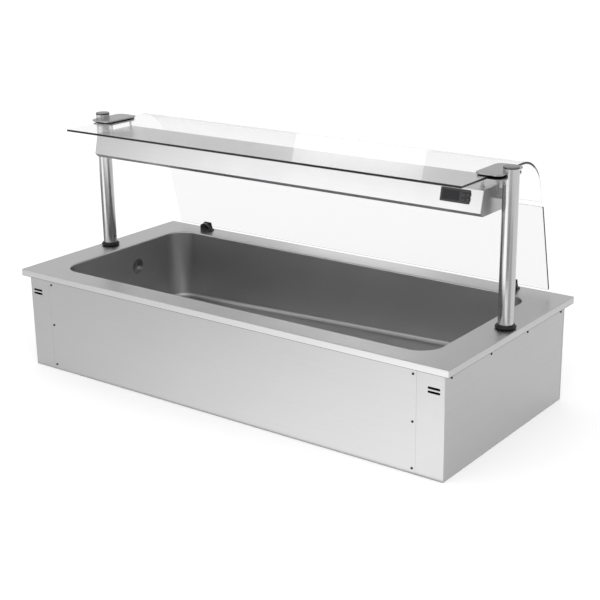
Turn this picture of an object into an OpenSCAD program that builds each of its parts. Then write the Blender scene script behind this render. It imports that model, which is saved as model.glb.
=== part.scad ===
// Drop-in cold well for a serving counter, with a glass canopy and a light box on two posts.
// Millimetres. X runs along the counter, -Y is the operator's side, +Y the guests' side.
// The origin is the middle of the casing's underside.

/* [Deck] */
// Width of the deck beyond the well's mouth at each end
end_margin = 98; // [90:1:140]
// Width of the deck in front of the well's mouth
front_margin = 73; // [66:1:100]
// Width of the deck behind the well's mouth
back_margin = 79; // [72:1:110]
// Thickness of the deck's sheet
deck_t = 2; // [1.5:0.1:2.5]
// Height of the lip folded down around the deck
lip_h = 20; // [16:1:26]
// Width of the return folded in at the foot of the lip
lip_return = 11; // [6:0.5:12]

/* [Well] */
// Length of the well's mouth
well_l = 1304; // [980:1:1640]
// Width of the well's mouth, front to back
well_d = 538; // [480:1:600]
// Radius of the well's upright corners
well_r = 65; // [50:1:80]
// Radius between the well's walls and its floor
floor_r = 15; // [10:1:20]
// Depth of the well at its shallow end, from the deck's top
well_depth = 188; // [165:1:230]
// Fall of the floor towards the drain, from end to end
floor_fall = 40; // [20:1:44]
// Height of the floor's low end over the underside of the casing
under_room = 80; // [76:1:120]
// Thickness of the well's sheet
tank_t = 1.2; // [1:0.1:1.5]
// Width of the flange that the well hangs by, under the deck
tank_flange = 10; // [8:0.5:12]

/* [Drain and overflow] */
// Distance of the drain from the well's low end
drain_in = 67; // [62:1:80]
// Radius of the dished seat around the drain
dish_r = 50; // [46:1:54]
// Depth of the dished seat below the floor
dish_depth = 6; // [4:0.5:7]
// Outer radius of the drain's tail
tail_r = 24; // [22:0.5:26]
// Wall of the drain's tail
tail_wall = 4; // [3:0.5:5]
// Radius of the drain's flange
drain_flange_r = 43; // [40:1:45]
// Radius of the overflow's mouth
overflow_r = 25; // [20:1:26]
// Depth of the overflow's mouth below the deck's top
overflow_down = 77; // [70:1:84]
// Place of the overflow along the end wall
overflow_y = 60; // [50:1:70]
// Depth of the overflow's cup
cup_depth = 14; // [10:0.5:15]
// Outer radius of the overflow's pipe
pipe_r = 11; // [9:0.5:12]

/* [Casing] */
// Overhang of the deck past the casing at each end
overhang_x = 19; // [17:0.5:22]
// Overhang of the deck past the casing at front and back
overhang_y = 16; // [14.5:0.5:18]
// Thickness of the casing's sheet
case_t = 1.2; // [1:0.1:1.5]
// Width of the strips beside the front access panel
strip_w = 81; // [66:1:92]
// Height of the bottom pan's upturned edge
pan_edge = 26; // [22:1:30]
// Height of the hanging frame's upright leg
frame_leg = 42; // [40:1:50]
// Length of a vent slot
slot_l = 36; // [26:1:40]
// Height of a vent slot
slot_h = 6.6; // [4.5:0.1:7.5]
// Distance between the two vent slots of a strip
slot_pitch = 10.7; // [9:0.1:14]

/* [Cooling] */
// Diameter of the coil's tube
coil_d = 9.5; // [8:0.1:10]
// Number of passes of the coil, an even number
coil_passes = 6; // [2:2:6]
// Height from one pass to the next
coil_pitch = 26; // [22:1:26]
// Room between the insulation and the casing at each end
end_room = 40; // [37:0.5:44]
// Room between the insulation and the casing at front and back
side_room = 18; // [15:0.5:22]

/* [Posts] */
// Outer diameter of a post
post_d = 42.4; // [40:0.1:44]
// Wall of a post
post_wall = 2; // [1.5:0.1:3]
// Distance of a post's axis from the end of the deck
post_in = 35; // [32:0.5:38]
// Place of the posts in front of (-) or behind (+) the middle
post_y = 5; // [0:1:12]
// Height of the posts' top over the deck
post_h = 430; // [384:1:484]
// Height of a base ring
ring_h = 12; // [10:0.5:16]
// Radius of a tie rod
rod_r = 6; // [5:0.5:6.5]

/* [Upper glass] */
// Thickness of both panes
glass_t = 6; // [5:0.5:6]
// Distance of the panes' ends from the posts' axes
glass_in = 35; // [33:0.5:40]
// Front edge of the upper pane, in front of the posts
glass_reach = 188; // [160:1:230]
// Depth of the upper pane's top below the posts' top
glass_down = 20; // [17:0.5:22]
// Where the upper pane starts to bend, in front of the lower pane's foot
bend_back = 177; // [170:1:200]
// Outer radius of the bend
bend_r = 115; // [100:1:120]
// Angle that the pane is bent through
bend_angle = 74; // [60:1:76]
// Length of the straight tail below the bend
tail_l = 50; // [30:1:54]

/* [Lower glass] */
// Gap in height between the two panes
pane_split = 10.5; // [8:0.5:40]
// Lean of the lower pane towards the operator
pane_lean = 13.4; // [10:0.1:14]
// Distance of the lower pane's foot from the back of the deck
pane_in = 28; // [26:0.5:40]
// Gap between the deck and the lower pane's foot
pane_gap = 15; // [12:0.5:18]
// Distance of a glass clamp from the panes' ends
clamp_in = 110; // [60:1:200]
// Width of a glass clamp
clamp_w = 45; // [40:1:50]

/* [Canopy clamps] */
// Lap of a clamp plate over the pane
plate_lap = 42; // [40:1:60]
// Reach of a clamp plate in front of the post
plate_fore = 56; // [50:1:62]
// Reach of a clamp plate behind the post
plate_aft = 76; // [68:1:84]
// Thickness of a clamp plate
plate_t = 4.5; // [4:0.1:5]
// Thickness of a rubber gasket
gasket_t = 1.5; // [1:0.1:2]

/* [Light box] */
// Gap between the light box and the posts
box_gap = 17.8; // [14:0.1:20]
// Depth of the light box's top below the upper pane's top
box_down = 35; // [32:0.5:40]
// Height of the light box
box_h = 68.5; // [64:0.5:76]
// Reach of the light box's top in front of the posts
box_fore = 67; // [64:0.5:80]
// Reach of the light box behind the posts
box_aft = 87; // [82:1:96]
// How far its front leans out towards the operator
box_lean = 14; // [10:0.5:16]
// Height of the chamfer along its front foot
box_chamfer = 10.5; // [8:0.5:12]
// Thickness of the light box's sheet
box_t = 1.5; // [1:0.1:2]
// Distance of the controller's middle from the light box's end
ctrl_in = 79; // [77:1:110]
// Width of the controller's face
ctrl_w = 85; // [78:1:88]
// Height of the controller's face
ctrl_h = 36; // [33:0.5:38]
// Side of a controller key
key_s = 9; // [8:0.5:9.5]
// Travel of a controller key
key_travel = 0.6; // [0.3:0.1:0.6]

/* [Hidden] */
$fn = 64;

// Small distance by which a cut runs past the face it opens
past = 1;
// Clearance of a screw or rod in its hole
hole_gap = 0.25;
// Clearance of a piece that is pushed over or into another
slip = 0.1;

// Heights and edges that several pieces share
deck_l = well_l + 2 * end_margin;
deck_d = well_d + front_margin + back_margin;
well_y = (front_margin - back_margin) / 2;
deck_z = under_room + floor_fall + well_depth;
deck_under = deck_z - deck_t;
body_x = deck_l / 2 - overhang_x;
body_y = deck_d / 2 - overhang_y;
in_x = body_x - case_t;
in_y = body_y - case_t;
well_end = well_l / 2;
well_low_z = deck_z - well_depth - floor_fall;
function floor_z(x) = well_low_z + floor_fall * (x + well_end) / well_l;
slope = atan(floor_fall / well_l);

// Drain, overflow and the pipe that joins them
drain_x = -well_end + drain_in;
dish_z = floor_z(drain_x) - dish_depth;
dish_under = dish_z - tank_t;
drain_flange_t = 2.5;
drain_gasket_t = 2;
locknut_h = 10;
locknut_r = 36;
tail_foot = 5;
spigot_top = 34;
spigot_in = 1;
drain_hole_r = 45;
overflow_z = deck_z - overflow_down;
cup_wall = 1.2;
cup_back = -well_end - tank_t - cup_depth;
pipe_wall = 1.5;
pipe_bend = pipe_r + 1.6;
socket_h = 8;
pipe_x = cup_back - pipe_bend;
pipe_run_z = dish_under - drain_gasket_t - locknut_h - pipe_r - 3;
pipe_dir = atan2(well_y - overflow_y, drain_x - pipe_x);
pipe_run = norm([drain_x - pipe_x, well_y - overflow_y]);

// Insulation
coil_r = coil_d / 2;
coil_room = coil_d + 1;
tank_room = tank_t + 0.1;
foam_x = in_x - end_room;
foam_d = 2 * (in_y - side_room);
foam_low = 36;
foam_top = deck_under - 2.3;

// Coil route: passes run round the front, the closed end and the back
coil_off = tank_t + coil_r + 0.8;
coil_front = well_y - well_d / 2 - coil_off;
coil_backs = well_y + well_d / 2 + coil_off;
coil_corner = well_r + coil_off;
coil_cx = well_end - well_r;
coil_start = well_end - well_r - 20;
coil_top_z = deck_z - 33;
leg_bend = 20;
leg_a = coil_start + 45;
leg_b = coil_start + 23;
leg_foot = 60;
stub_foot = 5;
socket_foot = 32;
stub_wall = 0.8;
liquid_r = 4.76;
suction_r = 6.35;

// Casing and frame
frame_t = 2;
frame_seat = 25;
foot_t = 6;
foot_d = 120;
joggle_w = 22;
panel_gap = 0.3;
rear_return = 8;
rail_w = 60;
rail_x = [for (k = [-1 : 1]) k * (well_end - 252)];
panel_half = body_x - strip_w;
panel_screw_x = panel_half - 10;
top_screw_z = deck_z - 37;
low_screw_z = 16;
mid_screw_z = (low_screw_z + top_screw_z) / 2;
side_screw_in = 31;
side_screw_pitch = (2 * body_y - side_screw_in - 26) / 3;
side_screw_y = [for (k = [0 : 3]) side_screw_in - body_y + k * side_screw_pitch];
rear_screw_x = [for (k = [-1 : 1]) k * panel_screw_x];
slot_z = deck_z - 63;
slot_x = body_x - 31;
rib_x = panel_half - 430;
rib_w = 40;
rib_d = 8;
screw_r = 2;
screw_head_r = 3.4;
screw_head_h = 1.8;
screw_l = 9;

// Service tray over the pipe stubs, and the cable's way in
tray_l = 110;
tray_d = 60;
tray_x = -(leg_a + leg_b) / 2;
tray_y = coil_front;
tray_h = foam_low - 1;
tray_t = 1.2;
tray_rim = 10;
bay_l = 150;
gland_x = in_x - 18;
gland_y = -120;
gland_z = 38;
gland_plate_t = 2;
gland_notch_l = 56;
gland_notch_d = 64;
gland_bore_r = 5;
gland_r = 10;
gland_l = 34;
term_y = -30;
term_l = 110;
term_h = 80;
term_t = 30;
term_z = 130;

// Posts
post_x = deck_l / 2 - post_in;
post_r = post_d / 2;
post_in_r = post_r - post_wall;
cap_t = 3;
seal_t = 2.4;
cap_plug = 20;
tube_top = deck_z + post_h - cap_t - seal_t;
rod_low = deck_under - 28;
nut_h = 10;
washer_t = 2.5;
washer_r = 11;
cable_r = 3;
cable_off = 11;
cable_y = post_y + 9;
cable_z = deck_z + post_h - 78;
grub_r = 3;
grub_z = deck_z + 32;

// Canopy: heights and places of the clamped stack
glass_half = post_x - glass_in;
pane_half = glass_half + 5;
glass_front = glass_reach - post_y;
pane_y = deck_d / 2 - pane_in;
bend_start = pane_y - bend_back;
glass_z = deck_z + post_h - glass_down;
tail_z = glass_z - bend_r + (bend_r - glass_t) * cos(bend_angle) - tail_l * sin(bend_angle);
pane_h = (tail_z - pane_split - pane_gap - deck_z) / cos(pane_lean);
clamp_x = glass_half - clamp_in;
plate_in = glass_half - plate_lap;
plate_front = post_y - plate_fore;
plate_back = post_y + plate_aft;
plate_r = 18;
lower_plate_inset = 2;
gasket_inset = 1.5;
stack_low = glass_z - glass_t - gasket_t - plate_t;
clamp_screw_x = (glass_half + post_x - post_r) / 2;
clamp_screw_y = [plate_front + 27, plate_back - 27];
clamp_screw_r = 2.5;
hanger_x = glass_half - 30;
hanger_y = [plate_front + 27, plate_back - 21];
hanger_r = 3.2;

// Glass clamps on the deck
cheek_t = 12;
cheek_front = pane_y - 18;
cheek_low = 3;
foot_plate_t = 4;
clamp_foot_d = 34;
clamp_corner_r = 12;
clamp_reach = 80;
pad_t = 1.5;
clamp_back_t = 4;
clamp_back_w = 28;
pad_h = 10;

// Light box: its outline across the counter, from the front of the top, anticlockwise
box_half = post_x - post_r - box_gap;
box_top = post_h - glass_down - box_down;
box_low = box_top - box_h;
box_front = post_y - box_fore;
box_back = post_y + box_aft;
box_foot_front = box_front - box_lean;
box_profile = [
    [box_front, box_top],
    [box_foot_front, box_low + box_chamfer],
    [box_foot_front + box_chamfer + 1.5, box_low],
    [box_back, box_low],
    [box_back, box_top]];
face_slope = atan(box_lean / (box_top - box_low - box_chamfer));
end_flange = 12;
diffuser_t = 3;
diffuser_lap = 12;
window_half = box_half - 36;
light_front = box_front + 17;
light_back = box_back - 18;
board_y = (light_front + light_back) / 2 - 24;
board_w = 24;
lamp_pitch = 40;
lamps = floor((window_half - 30) / lamp_pitch);
driver_x = -box_half / 2 - 12;
driver_l = 180;
driver_off = 60;
driver_lug = 15;
driver_w = 42;
driver_h = 30;
bracket_d = 26;
bracket_h = 28;
bracket_z = box_top - 30;
bezel_t = 3.5;
bezel_down = 4.4;
ctrl_x = box_half - ctrl_in;
case_w = ctrl_w - 14;
case_h = ctrl_h - 7;
case_deep = 58;
ctrl_mid = -bezel_down - ctrl_h / 2;
window_w = ctrl_w - 37;
window_h = ctrl_h - 12;
window_t = 1;
key_gap = 0.3;
key_proud = 0.8;
key_pitch_x = key_s + 2.5;
key_pitch_z = key_s + 4;
key_col = ctrl_w / 2 - 16;

// Unit vector, and an outline moved in by t all round
function unit(v) = v / norm(v);
function left_of(a, b) = let (u = unit(b - a)) [-u[1], u[0]];
function inset(p, t) = [
    for (i = [0 : len(p) - 1])
        let (a = p[(i + len(p) - 1) % len(p)], b = p[i], c = p[(i + 1) % len(p)],
             m = left_of(a, b), n = left_of(b, c))
        b + t * (m + n) / (1 + m * n)];

// A flat shape with rounded corners, centred
module rounded(l, d, r) {
    square([l - 2 * r, d], center = true);
    square([l, d - 2 * r], center = true);
    for (sx = [-1, 1], sy = [-1, 1])
        translate([sx * (l / 2 - r), sy * (d / 2 - r)]) circle(r);
}

// A block centred in X and Y, standing on z = 0
module block(l, d, h) {
    translate([-l / 2, -d / 2, 0]) cube([l, d, h]);
}

// A frame of the outer size l by d, w wide and h high
module ring_block(l, d, w, h) {
    difference() {
        block(l, d, h);
        translate([0, 0, -past]) block(l - 2 * w, d - 2 * w, h + 2 * past);
    }
}

// A rod or bore along X, from x to x + l
module x_rod(r, x, l) {
    translate([x, 0, 0]) rotate([0, 90, 0]) cylinder(r = r, h = l);
}

// A rod or bore along Y, from y to y + l
module y_rod(r, y, l) {
    translate([0, y, 0]) rotate([-90, 0, 0]) cylinder(r = r, h = l);
}

// The same thing at the left and at the right
module both_ends() {
    children();
    mirror([1, 0, 0]) children();
}

// Places shared by the deck, the frame and what passes through them
module at_posts() {
    for (s = [-1, 1]) translate([s * post_x, post_y, 0]) children();
}
module at_clamp_screws() {
    for (s = [-1, 1], k = [-1, 1])
        translate([s * clamp_x + k * clamp_w / 4, pane_y - 1, 0]) children();
}
module cable_hole(h) {
    translate([post_x - cable_off, cable_y, 0]) cylinder(r = cable_r + 1, h = h);
}

// Deck: one sheet with its lip and return, open over the well
module deck_top() {
    color("silver") difference() {
        union() {
            translate([0, 0, deck_under]) block(deck_l, deck_d, deck_t);
            translate([0, 0, deck_z - lip_h]) ring_block(deck_l, deck_d, deck_t, lip_h);
            translate([0, 0, deck_z - lip_h]) ring_block(deck_l, deck_d, deck_t + lip_return, deck_t);
        }
        translate([0, well_y, deck_under - past])
            linear_extrude(deck_t + 2 * past) rounded(well_l, well_d, well_r);
        translate([0, 0, deck_under - past]) {
            at_posts() cylinder(r = rod_r + hole_gap, h = deck_t + 2 * past);
            at_clamp_screws() cylinder(r = clamp_screw_r + hole_gap, h = deck_t + 2 * past);
            cable_hole(deck_t + 2 * past);
        }
    }
}

// The well's inside, grown by g: upright walls, rounded foot, floor that falls to the left
module tub(g, top) {
    cx = well_end - well_r;
    cy = well_d / 2 - well_r;
    hull() {
        translate([0, well_y, floor_z(0)]) rotate([0, -slope, 0])
            for (sx = [-1, 1], sy = [-1, 1])
                translate([sx * cx / cos(slope) + floor_r * tan(slope), sy * cy, floor_r])
                    rotate_extrude($fn = 32) translate([well_r - floor_r, 0])
                        circle(floor_r + g, $fn = 16);
        for (sx = [-1, 1], sy = [-1, 1]) translate([sx * cx, well_y + sy * cy, top - past])
            cylinder(r = well_r + g, h = past, $fn = 32);
    }
}

// Well: sheet tub with a dished seat for the drain and a hole for the overflow
module well_tank() {
    color("dimgray") difference() {
        union() {
            tub(tank_t, deck_under);
            translate([0, well_y, deck_under - tank_t])
                linear_extrude(tank_t) rounded(well_l + 2 * (tank_t + tank_flange),
                    well_d + 2 * (tank_t + tank_flange), well_r + tank_t + tank_flange);
            translate([drain_x, well_y, dish_under])
                cylinder(r = dish_r + tank_t, h = dish_depth + 6);
        }
        tub(0, deck_under + 2 * past);
        translate([drain_x, well_y, dish_z]) cylinder(r = dish_r, h = 2 * dish_depth);
        translate([drain_x, well_y, dish_under - past])
            cylinder(r = tail_r + slip, h = tank_t + 2 * past);
        translate([0, overflow_y, overflow_z]) x_rod(overflow_r, -well_end - 5, 10);
    }
}

// Insulation: foam round the well, with room for the coil, the pipes and the probe
module insulation_jacket() {
    color("khaki") difference() {
        translate([0, 0, foam_low]) block(2 * foam_x, foam_d, foam_top - foam_low);
        intersection() {
            translate([0, well_y, foam_low]) linear_extrude(foam_top)
                rounded(well_l + 2 * tank_room, well_d + 2 * tank_room, well_r + tank_room);
            translate([0, 0, floor_z(0) - tank_room]) rotate([0, -slope, 0])
                translate([-well_l, -well_d, 0]) cube([2 * well_l, 2 * well_d, foam_top]);
        }
        translate([0, well_y, coil_top_z - (coil_passes - 1) * coil_pitch - coil_d])
            linear_extrude(foam_top) rounded(well_l + 2 * (tank_t + coil_room),
                well_d + 2 * (tank_t + coil_room), well_r + tank_t + coil_room);
        translate([drain_x, well_y, foam_low - past]) cylinder(r = dish_r + 3, h = 100);
        pipe_chase();
        translate([-foam_x - past, -foam_d / 2 - past, foam_low - past])
            cube([bay_l + past, foam_d / 2 + well_y - well_d / 2 + 11, foam_top]);
    }
}

// Room for the overflow's pipe beside and under the well
module pipe_chase() {
    translate([-foam_x - past, overflow_y - overflow_r - 3, foam_low - past])
        cube([foam_x - well_end + 2 * past, 2 * overflow_r + 6, foam_top]);
    translate([pipe_x, overflow_y, foam_low - past]) rotate([0, 0, pipe_dir])
        translate([-pipe_r - 2, -pipe_r - 2, 0])
            cube([pipe_run + pipe_r + 2, 2 * pipe_r + 4, pipe_run_z + pipe_r + 3 - foam_low]);
}

// Coil route as rings: centre, outward direction, and the second direction of the ring's plane
function ring_at(x, y, z, out, second) = [[x, y, z], out, second];
function heading_out(a) = [sin(a), -cos(a), 0];
function pass_z(k) = coil_top_z - k * coil_pitch;
pass_plan = concat(
    [[-coil_start, coil_front, 0]],
    [for (a = [-90 : 15 : 0]) [coil_cx + coil_corner * cos(a),
        coil_front + coil_corner + coil_corner * sin(a), a + 90]],
    [for (a = [0 : 15 : 90]) [coil_cx + coil_corner * cos(a),
        coil_backs - coil_corner + coil_corner * sin(a), a + 90]],
    [[-coil_start, coil_backs, 180]]);
function pass_rings(k) = let (n = len(pass_plan), even = k % 2 == 0) [
    for (i = [0 : n - 1])
        let (p = pass_plan[even ? i : n - 1 - i])
        ring_at(p[0], p[1], pass_z(k), heading_out(p[2]), [0, 0, even ? 1 : -1])];
function turn_rings(k) = let (y = k % 2 == 0 ? coil_backs : coil_front, s = k % 2 == 0 ? 1 : -1,
    r = coil_pitch / 2) [
    for (a = [22.5 : 22.5 : 157.5])
        ring_at(-coil_start - r * sin(a), y, pass_z(k) - r + r * cos(a),
            [0, s, 0], s * [-sin(a), 0, cos(a)])];
leg_a_rings = concat(
    [ring_at(-leg_a, coil_front, leg_foot, [0, -1, 0], [-1, 0, 0])],
    [for (a = [0 : 15 : 90]) ring_at(-leg_a + leg_bend - leg_bend * cos(a), coil_front,
        pass_z(0) - leg_bend + leg_bend * sin(a), [0, -1, 0], [-cos(a), 0, sin(a)])]);
leg_b_rings = concat(
    [for (a = [0 : 15 : 90]) ring_at(-leg_b + leg_bend - leg_bend * sin(a), coil_front,
        pass_z(coil_passes - 1) - leg_bend + leg_bend * cos(a), [0, -1, 0], [sin(a), 0, -cos(a)])],
    [ring_at(-leg_b, coil_front, leg_foot, [0, -1, 0], [1, 0, 0])]);
coil_rings = concat(leg_a_rings,
    [for (k = [0 : coil_passes - 1]) each concat(pass_rings(k),
        k < coil_passes - 1 ? turn_rings(k) : [])],
    leg_b_rings);

// A tube of n sides swept along rings
module swept_tube(rings, r, n) {
    m = len(rings);
    polyhedron(
        points = [for (q = rings, j = [0 : n - 1])
            q[0] + r * (cos(360 * j / n) * q[1] + sin(360 * j / n) * q[2])],
        faces = concat(
            [[for (j = [n - 1 : -1 : 0]) j]],
            [for (i = [0 : m - 2], j = [0 : n - 1])
                [i * n + j, i * n + (j + 1) % n, (i + 1) * n + (j + 1) % n, (i + 1) * n + j]],
            [[for (j = [0 : n - 1]) (m - 1) * n + j]]));
}
module evaporator_coil() {
    color("peru") swept_tube(coil_rings, coil_r, 8);
}

// Pipe stubs: where the refrigerant lines are joined on, inside the service tray
module stub(x, r) {
    translate([x, coil_front, stub_foot]) cylinder(r = r, h = leg_foot - stub_foot);
    translate([x, coil_front, socket_foot])
        cylinder(r = r + stub_wall, h = leg_foot - socket_foot);
}
module pipe_stubs() {
    color("peru") {
        stub(-leg_a, liquid_r);
        stub(-leg_b, suction_r);
    }
}

// Temperature probe in a pocket on the well's low end wall
module probe_place() {
    translate([-well_end - tank_t - 5, well_y - 117, deck_z - 168]) children();
}
module probe_pocket() {
    color("peru") probe_place() difference() {
        union() {
            cylinder(r = 4.4, h = 60);
            translate([0, -4, 0]) cube([5, 8, 60]);
        }
        translate([0, 0, 4]) cylinder(r = 3.1, h = 60);
    }
}
module temperature_probe() {
    color("gainsboro") probe_place() translate([0, 0, 4]) {
        cylinder(r = 3, h = 50);
        translate([0, 0, 50]) cylinder(r = 1.6, h = 22);
    }
}

// Drain: flanged waste with its tail and a branch for the overflow
module drain_fitting() {
    color("gainsboro") translate([drain_x, well_y, 0]) difference() {
        union() {
            translate([0, 0, dish_z]) cylinder(r = drain_flange_r, h = drain_flange_t);
            translate([0, 0, spigot_top])
                cylinder(r = tail_r, h = dish_z - spigot_top + past);
            translate([0, 0, tail_foot])
                cylinder(r = tail_r - spigot_in, h = spigot_top - tail_foot + past);
            translate([0, 0, pipe_run_z]) rotate([0, 0, pipe_dir])
                x_rod(pipe_r, -tail_r - 10, 14);
        }
        translate([0, 0, tail_foot - past])
            cylinder(r = tail_r - tail_wall, h = dish_z + drain_flange_t);
        translate([0, 0, pipe_run_z]) rotate([0, 0, pipe_dir])
            x_rod(pipe_r - pipe_wall, -tail_r - 10 - past, 20);
    }
}
module drain_gasket() {
    color("black") translate([drain_x, well_y, dish_under - drain_gasket_t]) difference() {
        cylinder(r = locknut_r + 2, h = drain_gasket_t);
        translate([0, 0, -past]) cylinder(r = tail_r + slip, h = drain_gasket_t + 2 * past);
    }
}
module drain_locknut() {
    color("gainsboro") translate([drain_x, well_y, dish_under - drain_gasket_t - locknut_h])
        difference() {
            cylinder(r = locknut_r, h = locknut_h, $fn = 6);
            translate([0, 0, -past]) cylinder(r = tail_r + slip, h = locknut_h + 2 * past);
        }
}

// Strainer: lifts out of the drain by its knob
module drain_strainer() {
    seat = dish_z + drain_flange_t + 0.3;
    color("lightgray") translate([drain_x, well_y, seat]) difference() {
        union() {
            cylinder(r = drain_flange_r - 7, h = 1.5);
            translate([0, 0, -12]) cylinder(r = tail_r - tail_wall - 1, h = 12);
            cylinder(r = 3, h = 8);
            translate([0, 0, 8]) cylinder(r = 6, h = 3);
        }
        translate([0, 0, -13]) cylinder(r = tail_r - tail_wall - 2.5, h = 13);
        for (a = [0 : 45 : 315])
            rotate([0, 0, a]) translate([11, 0, -past]) cylinder(r = 2.5, h = 4);
    }
}

// Overflow: a cup behind the hole in the end wall, and its pipe down to the drain
module overflow_cup() {
    color("gainsboro") translate([0, overflow_y, overflow_z]) difference() {
        x_rod(overflow_r + cup_wall, cup_back, cup_depth);
        x_rod(overflow_r, cup_back + cup_wall, cup_depth);
        x_rod(pipe_r - pipe_wall, cup_back - past, 4);
    }
}
module pipe_path(r, run_in) {
    translate([cup_back - pipe_bend, overflow_y, overflow_z - pipe_bend]) {
        translate([pipe_bend, 0, 0]) rotate([90, 0, 0]) rotate([0, 0, 90])
            rotate_extrude(angle = 90) translate([pipe_bend, 0]) circle(r);
    }
    translate([pipe_x, overflow_y, pipe_run_z + pipe_bend])
        cylinder(r = r, h = overflow_z - pipe_run_z - 2 * pipe_bend);
    translate([pipe_x, overflow_y, pipe_run_z]) rotate([0, 0, pipe_dir]) {
        translate([pipe_bend, 0, pipe_bend]) rotate([90, 0, 0]) rotate([0, 0, 180])
            rotate_extrude(angle = 90) translate([pipe_bend, 0]) circle(r);
        x_rod(r, pipe_bend, pipe_run - pipe_bend - tail_r - 10 + run_in);
    }
}
module overflow_pipe() {
    color("gray") difference() {
        union() {
            pipe_path(pipe_r, 0);
            translate([pipe_x, overflow_y, 0]) for (z = [pipe_run_z + pipe_bend, overflow_z - pipe_bend])
                translate([0, 0, z - socket_h / 2]) cylinder(r = pipe_r + 1.5, h = socket_h);
        }
        pipe_path(pipe_r - pipe_wall, past);
    }
}

// Frame of angle under the deck, with a foot plate welded in below each post
module hanging_frame() {
    color("gray") difference() {
        union() {
            translate([0, 0, deck_under - frame_leg])
                ring_block(2 * in_x, 2 * in_y, frame_t, frame_leg);
            translate([0, 0, deck_under - frame_t])
                ring_block(2 * in_x, 2 * in_y, frame_seat, frame_t);
            both_ends() translate([foam_x + 1, post_y - foot_d / 2, deck_under - frame_t - foot_t])
                cube([in_x - frame_t - foam_x - 1, foot_d, foot_t]);
        }
        translate([0, 0, deck_under - 20]) {
            at_posts() cylinder(r = rod_r + hole_gap, h = 25);
            at_clamp_screws() cylinder(r = clamp_screw_r + hole_gap, h = 25);
            cable_hole(25);
        }
        screw_holes();
    }
}

// Rails that carry the insulated well on the bottom pan
module support_rails() {
    color("gray") for (x = rail_x) translate([x, 0, case_t]) difference() {
        block(rail_w, foam_d - 10, foam_low - case_t);
        translate([0, 0, -past]) block(rail_w - 24, foam_d, foam_low - case_t - 1);
        for (s = [-1, 1]) translate([s * (rail_w / 2 - 5), 0, 2])
            block(8.1, foam_d, foam_low);
    }
}

// Bottom pan, open under the drain, the pipe stubs and the cable's gland
module bottom_pan() {
    color("lightgray") difference() {
        union() {
            block(2 * in_x, 2 * in_y, case_t);
            ring_block(2 * in_x, 2 * in_y, case_t, pan_edge);
        }
        translate([drain_x, well_y, -past]) cylinder(r = drain_hole_r, h = 2 * past + case_t);
        translate([tray_x, tray_y, -past]) block(tray_l, tray_d, 2 * past + case_t);
        translate([in_x, gland_y, -past]) block(2 * gland_notch_l, gland_notch_d, pan_edge + 2 * past);
        screw_holes();
    }
}

// Tray over the opening in the pan: the pipe stubs come down through it
module service_tray() {
    color("silver") translate([tray_x, tray_y, 0]) difference() {
        union() {
            translate([0, 0, case_t]) block(tray_l + 2 * tray_t, tray_d + 2 * tray_t, tray_h - case_t);
            translate([0, 0, case_t]) block(tray_l + 2 * tray_rim, tray_d + 2 * tray_rim, tray_t);
        }
        translate([0, 0, -past]) block(tray_l, tray_d, tray_h - tray_t + past);
        for (leg = [[leg_a, liquid_r], [leg_b, suction_r]])
            translate([-leg[0] - tray_x, 0, 0])
                cylinder(r = leg[1] + stub_wall + slip, h = foam_low);
    }
}

// Screw positions on the casing; each screw lies along its own way in
module at_front_screws() {
    for (s = [-1, 1], z = [low_screw_z, mid_screw_z, top_screw_z])
        translate([s * panel_screw_x, -body_y, z]) children();
}
module at_rear_screws() {
    for (x = rear_screw_x, z = [low_screw_z, top_screw_z])
        translate([x, body_y, z]) rotate([0, 0, 180]) children();
}
module at_end_screws() {
    for (s = [-1, 1], y = side_screw_y)
        translate([s * body_x, y, top_screw_z]) rotate([0, 0, s * 90]) children();
}
module screw_holes() {
    at_front_screws() y_rod(screw_r + hole_gap, -past, screw_l);
    at_rear_screws() y_rod(screw_r + hole_gap, -past, screw_l);
    at_end_screws() y_rod(screw_r + hole_gap, -past, screw_l);
}
module screw() {
    y_rod(screw_head_r, -screw_head_h, screw_head_h);
    y_rod(screw_r, -past, screw_l);
}
module casing_screws() {
    color("dimgray") {
        at_front_screws() screw();
        at_rear_screws() screw();
        at_end_screws() screw();
    }
}

// Front access panel with two stiffening ribs
module front_panel() {
    rib_h = deck_under - frame_leg - pan_edge - 24;
    color("gainsboro") difference() {
        union() {
            translate([-panel_half, -body_y, 0]) cube([2 * panel_half, case_t, deck_under]);
            for (s = [-1, 1])
                translate([s * rib_x - rib_w / 2, -body_y + case_t, pan_edge + 14])
                    cube([rib_w, rib_d, rib_h]);
        }
        for (s = [-1, 1])
            translate([s * rib_x - rib_w / 2 + case_t, -body_y + case_t, pan_edge + 14 + case_t])
                cube([rib_w - 2 * case_t, rib_d - case_t, rib_h - 2 * case_t]);
        screw_holes();
    }
}

// End casing, drawn at the right: end plate, front strip with its vents, and joggled edges
module end_casing() {
    joggle_low = pan_edge + 1;
    joggle_h = deck_under - frame_leg - joggle_low - 1;
    strip_x = panel_half + panel_gap;
    difference() {
        union() {
            translate([in_x, -body_y, 0])
                cube([case_t, 2 * body_y - rear_return - panel_gap, deck_under]);
            translate([strip_x, -body_y, 0]) cube([body_x - strip_x, case_t, deck_under]);
            translate([panel_half - joggle_w, -in_y, joggle_low])
                cube([joggle_w + 6, case_t, joggle_h]);
            translate([in_x - case_t, in_y - joggle_w, joggle_low])
                cube([case_t, joggle_w - 0.3, joggle_h]);
        }
        for (k = [0, 1])
            translate([slot_x, -body_y, slot_z - k * slot_pitch]) slot();
        screw_holes();
    }
}
module slot() {
    e = slot_l / 2 - slot_h / 2;
    for (s = [-1, 1]) translate([s * e, 0, 0]) y_rod(slot_h / 2, -past, case_t + 2 * past);
    translate([-e, -past, -slot_h / 2]) cube([2 * e, case_t + 2 * past, slot_h]);
}
module left_end_casing() {
    color("silver") mirror([1, 0, 0]) end_casing();
}

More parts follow.
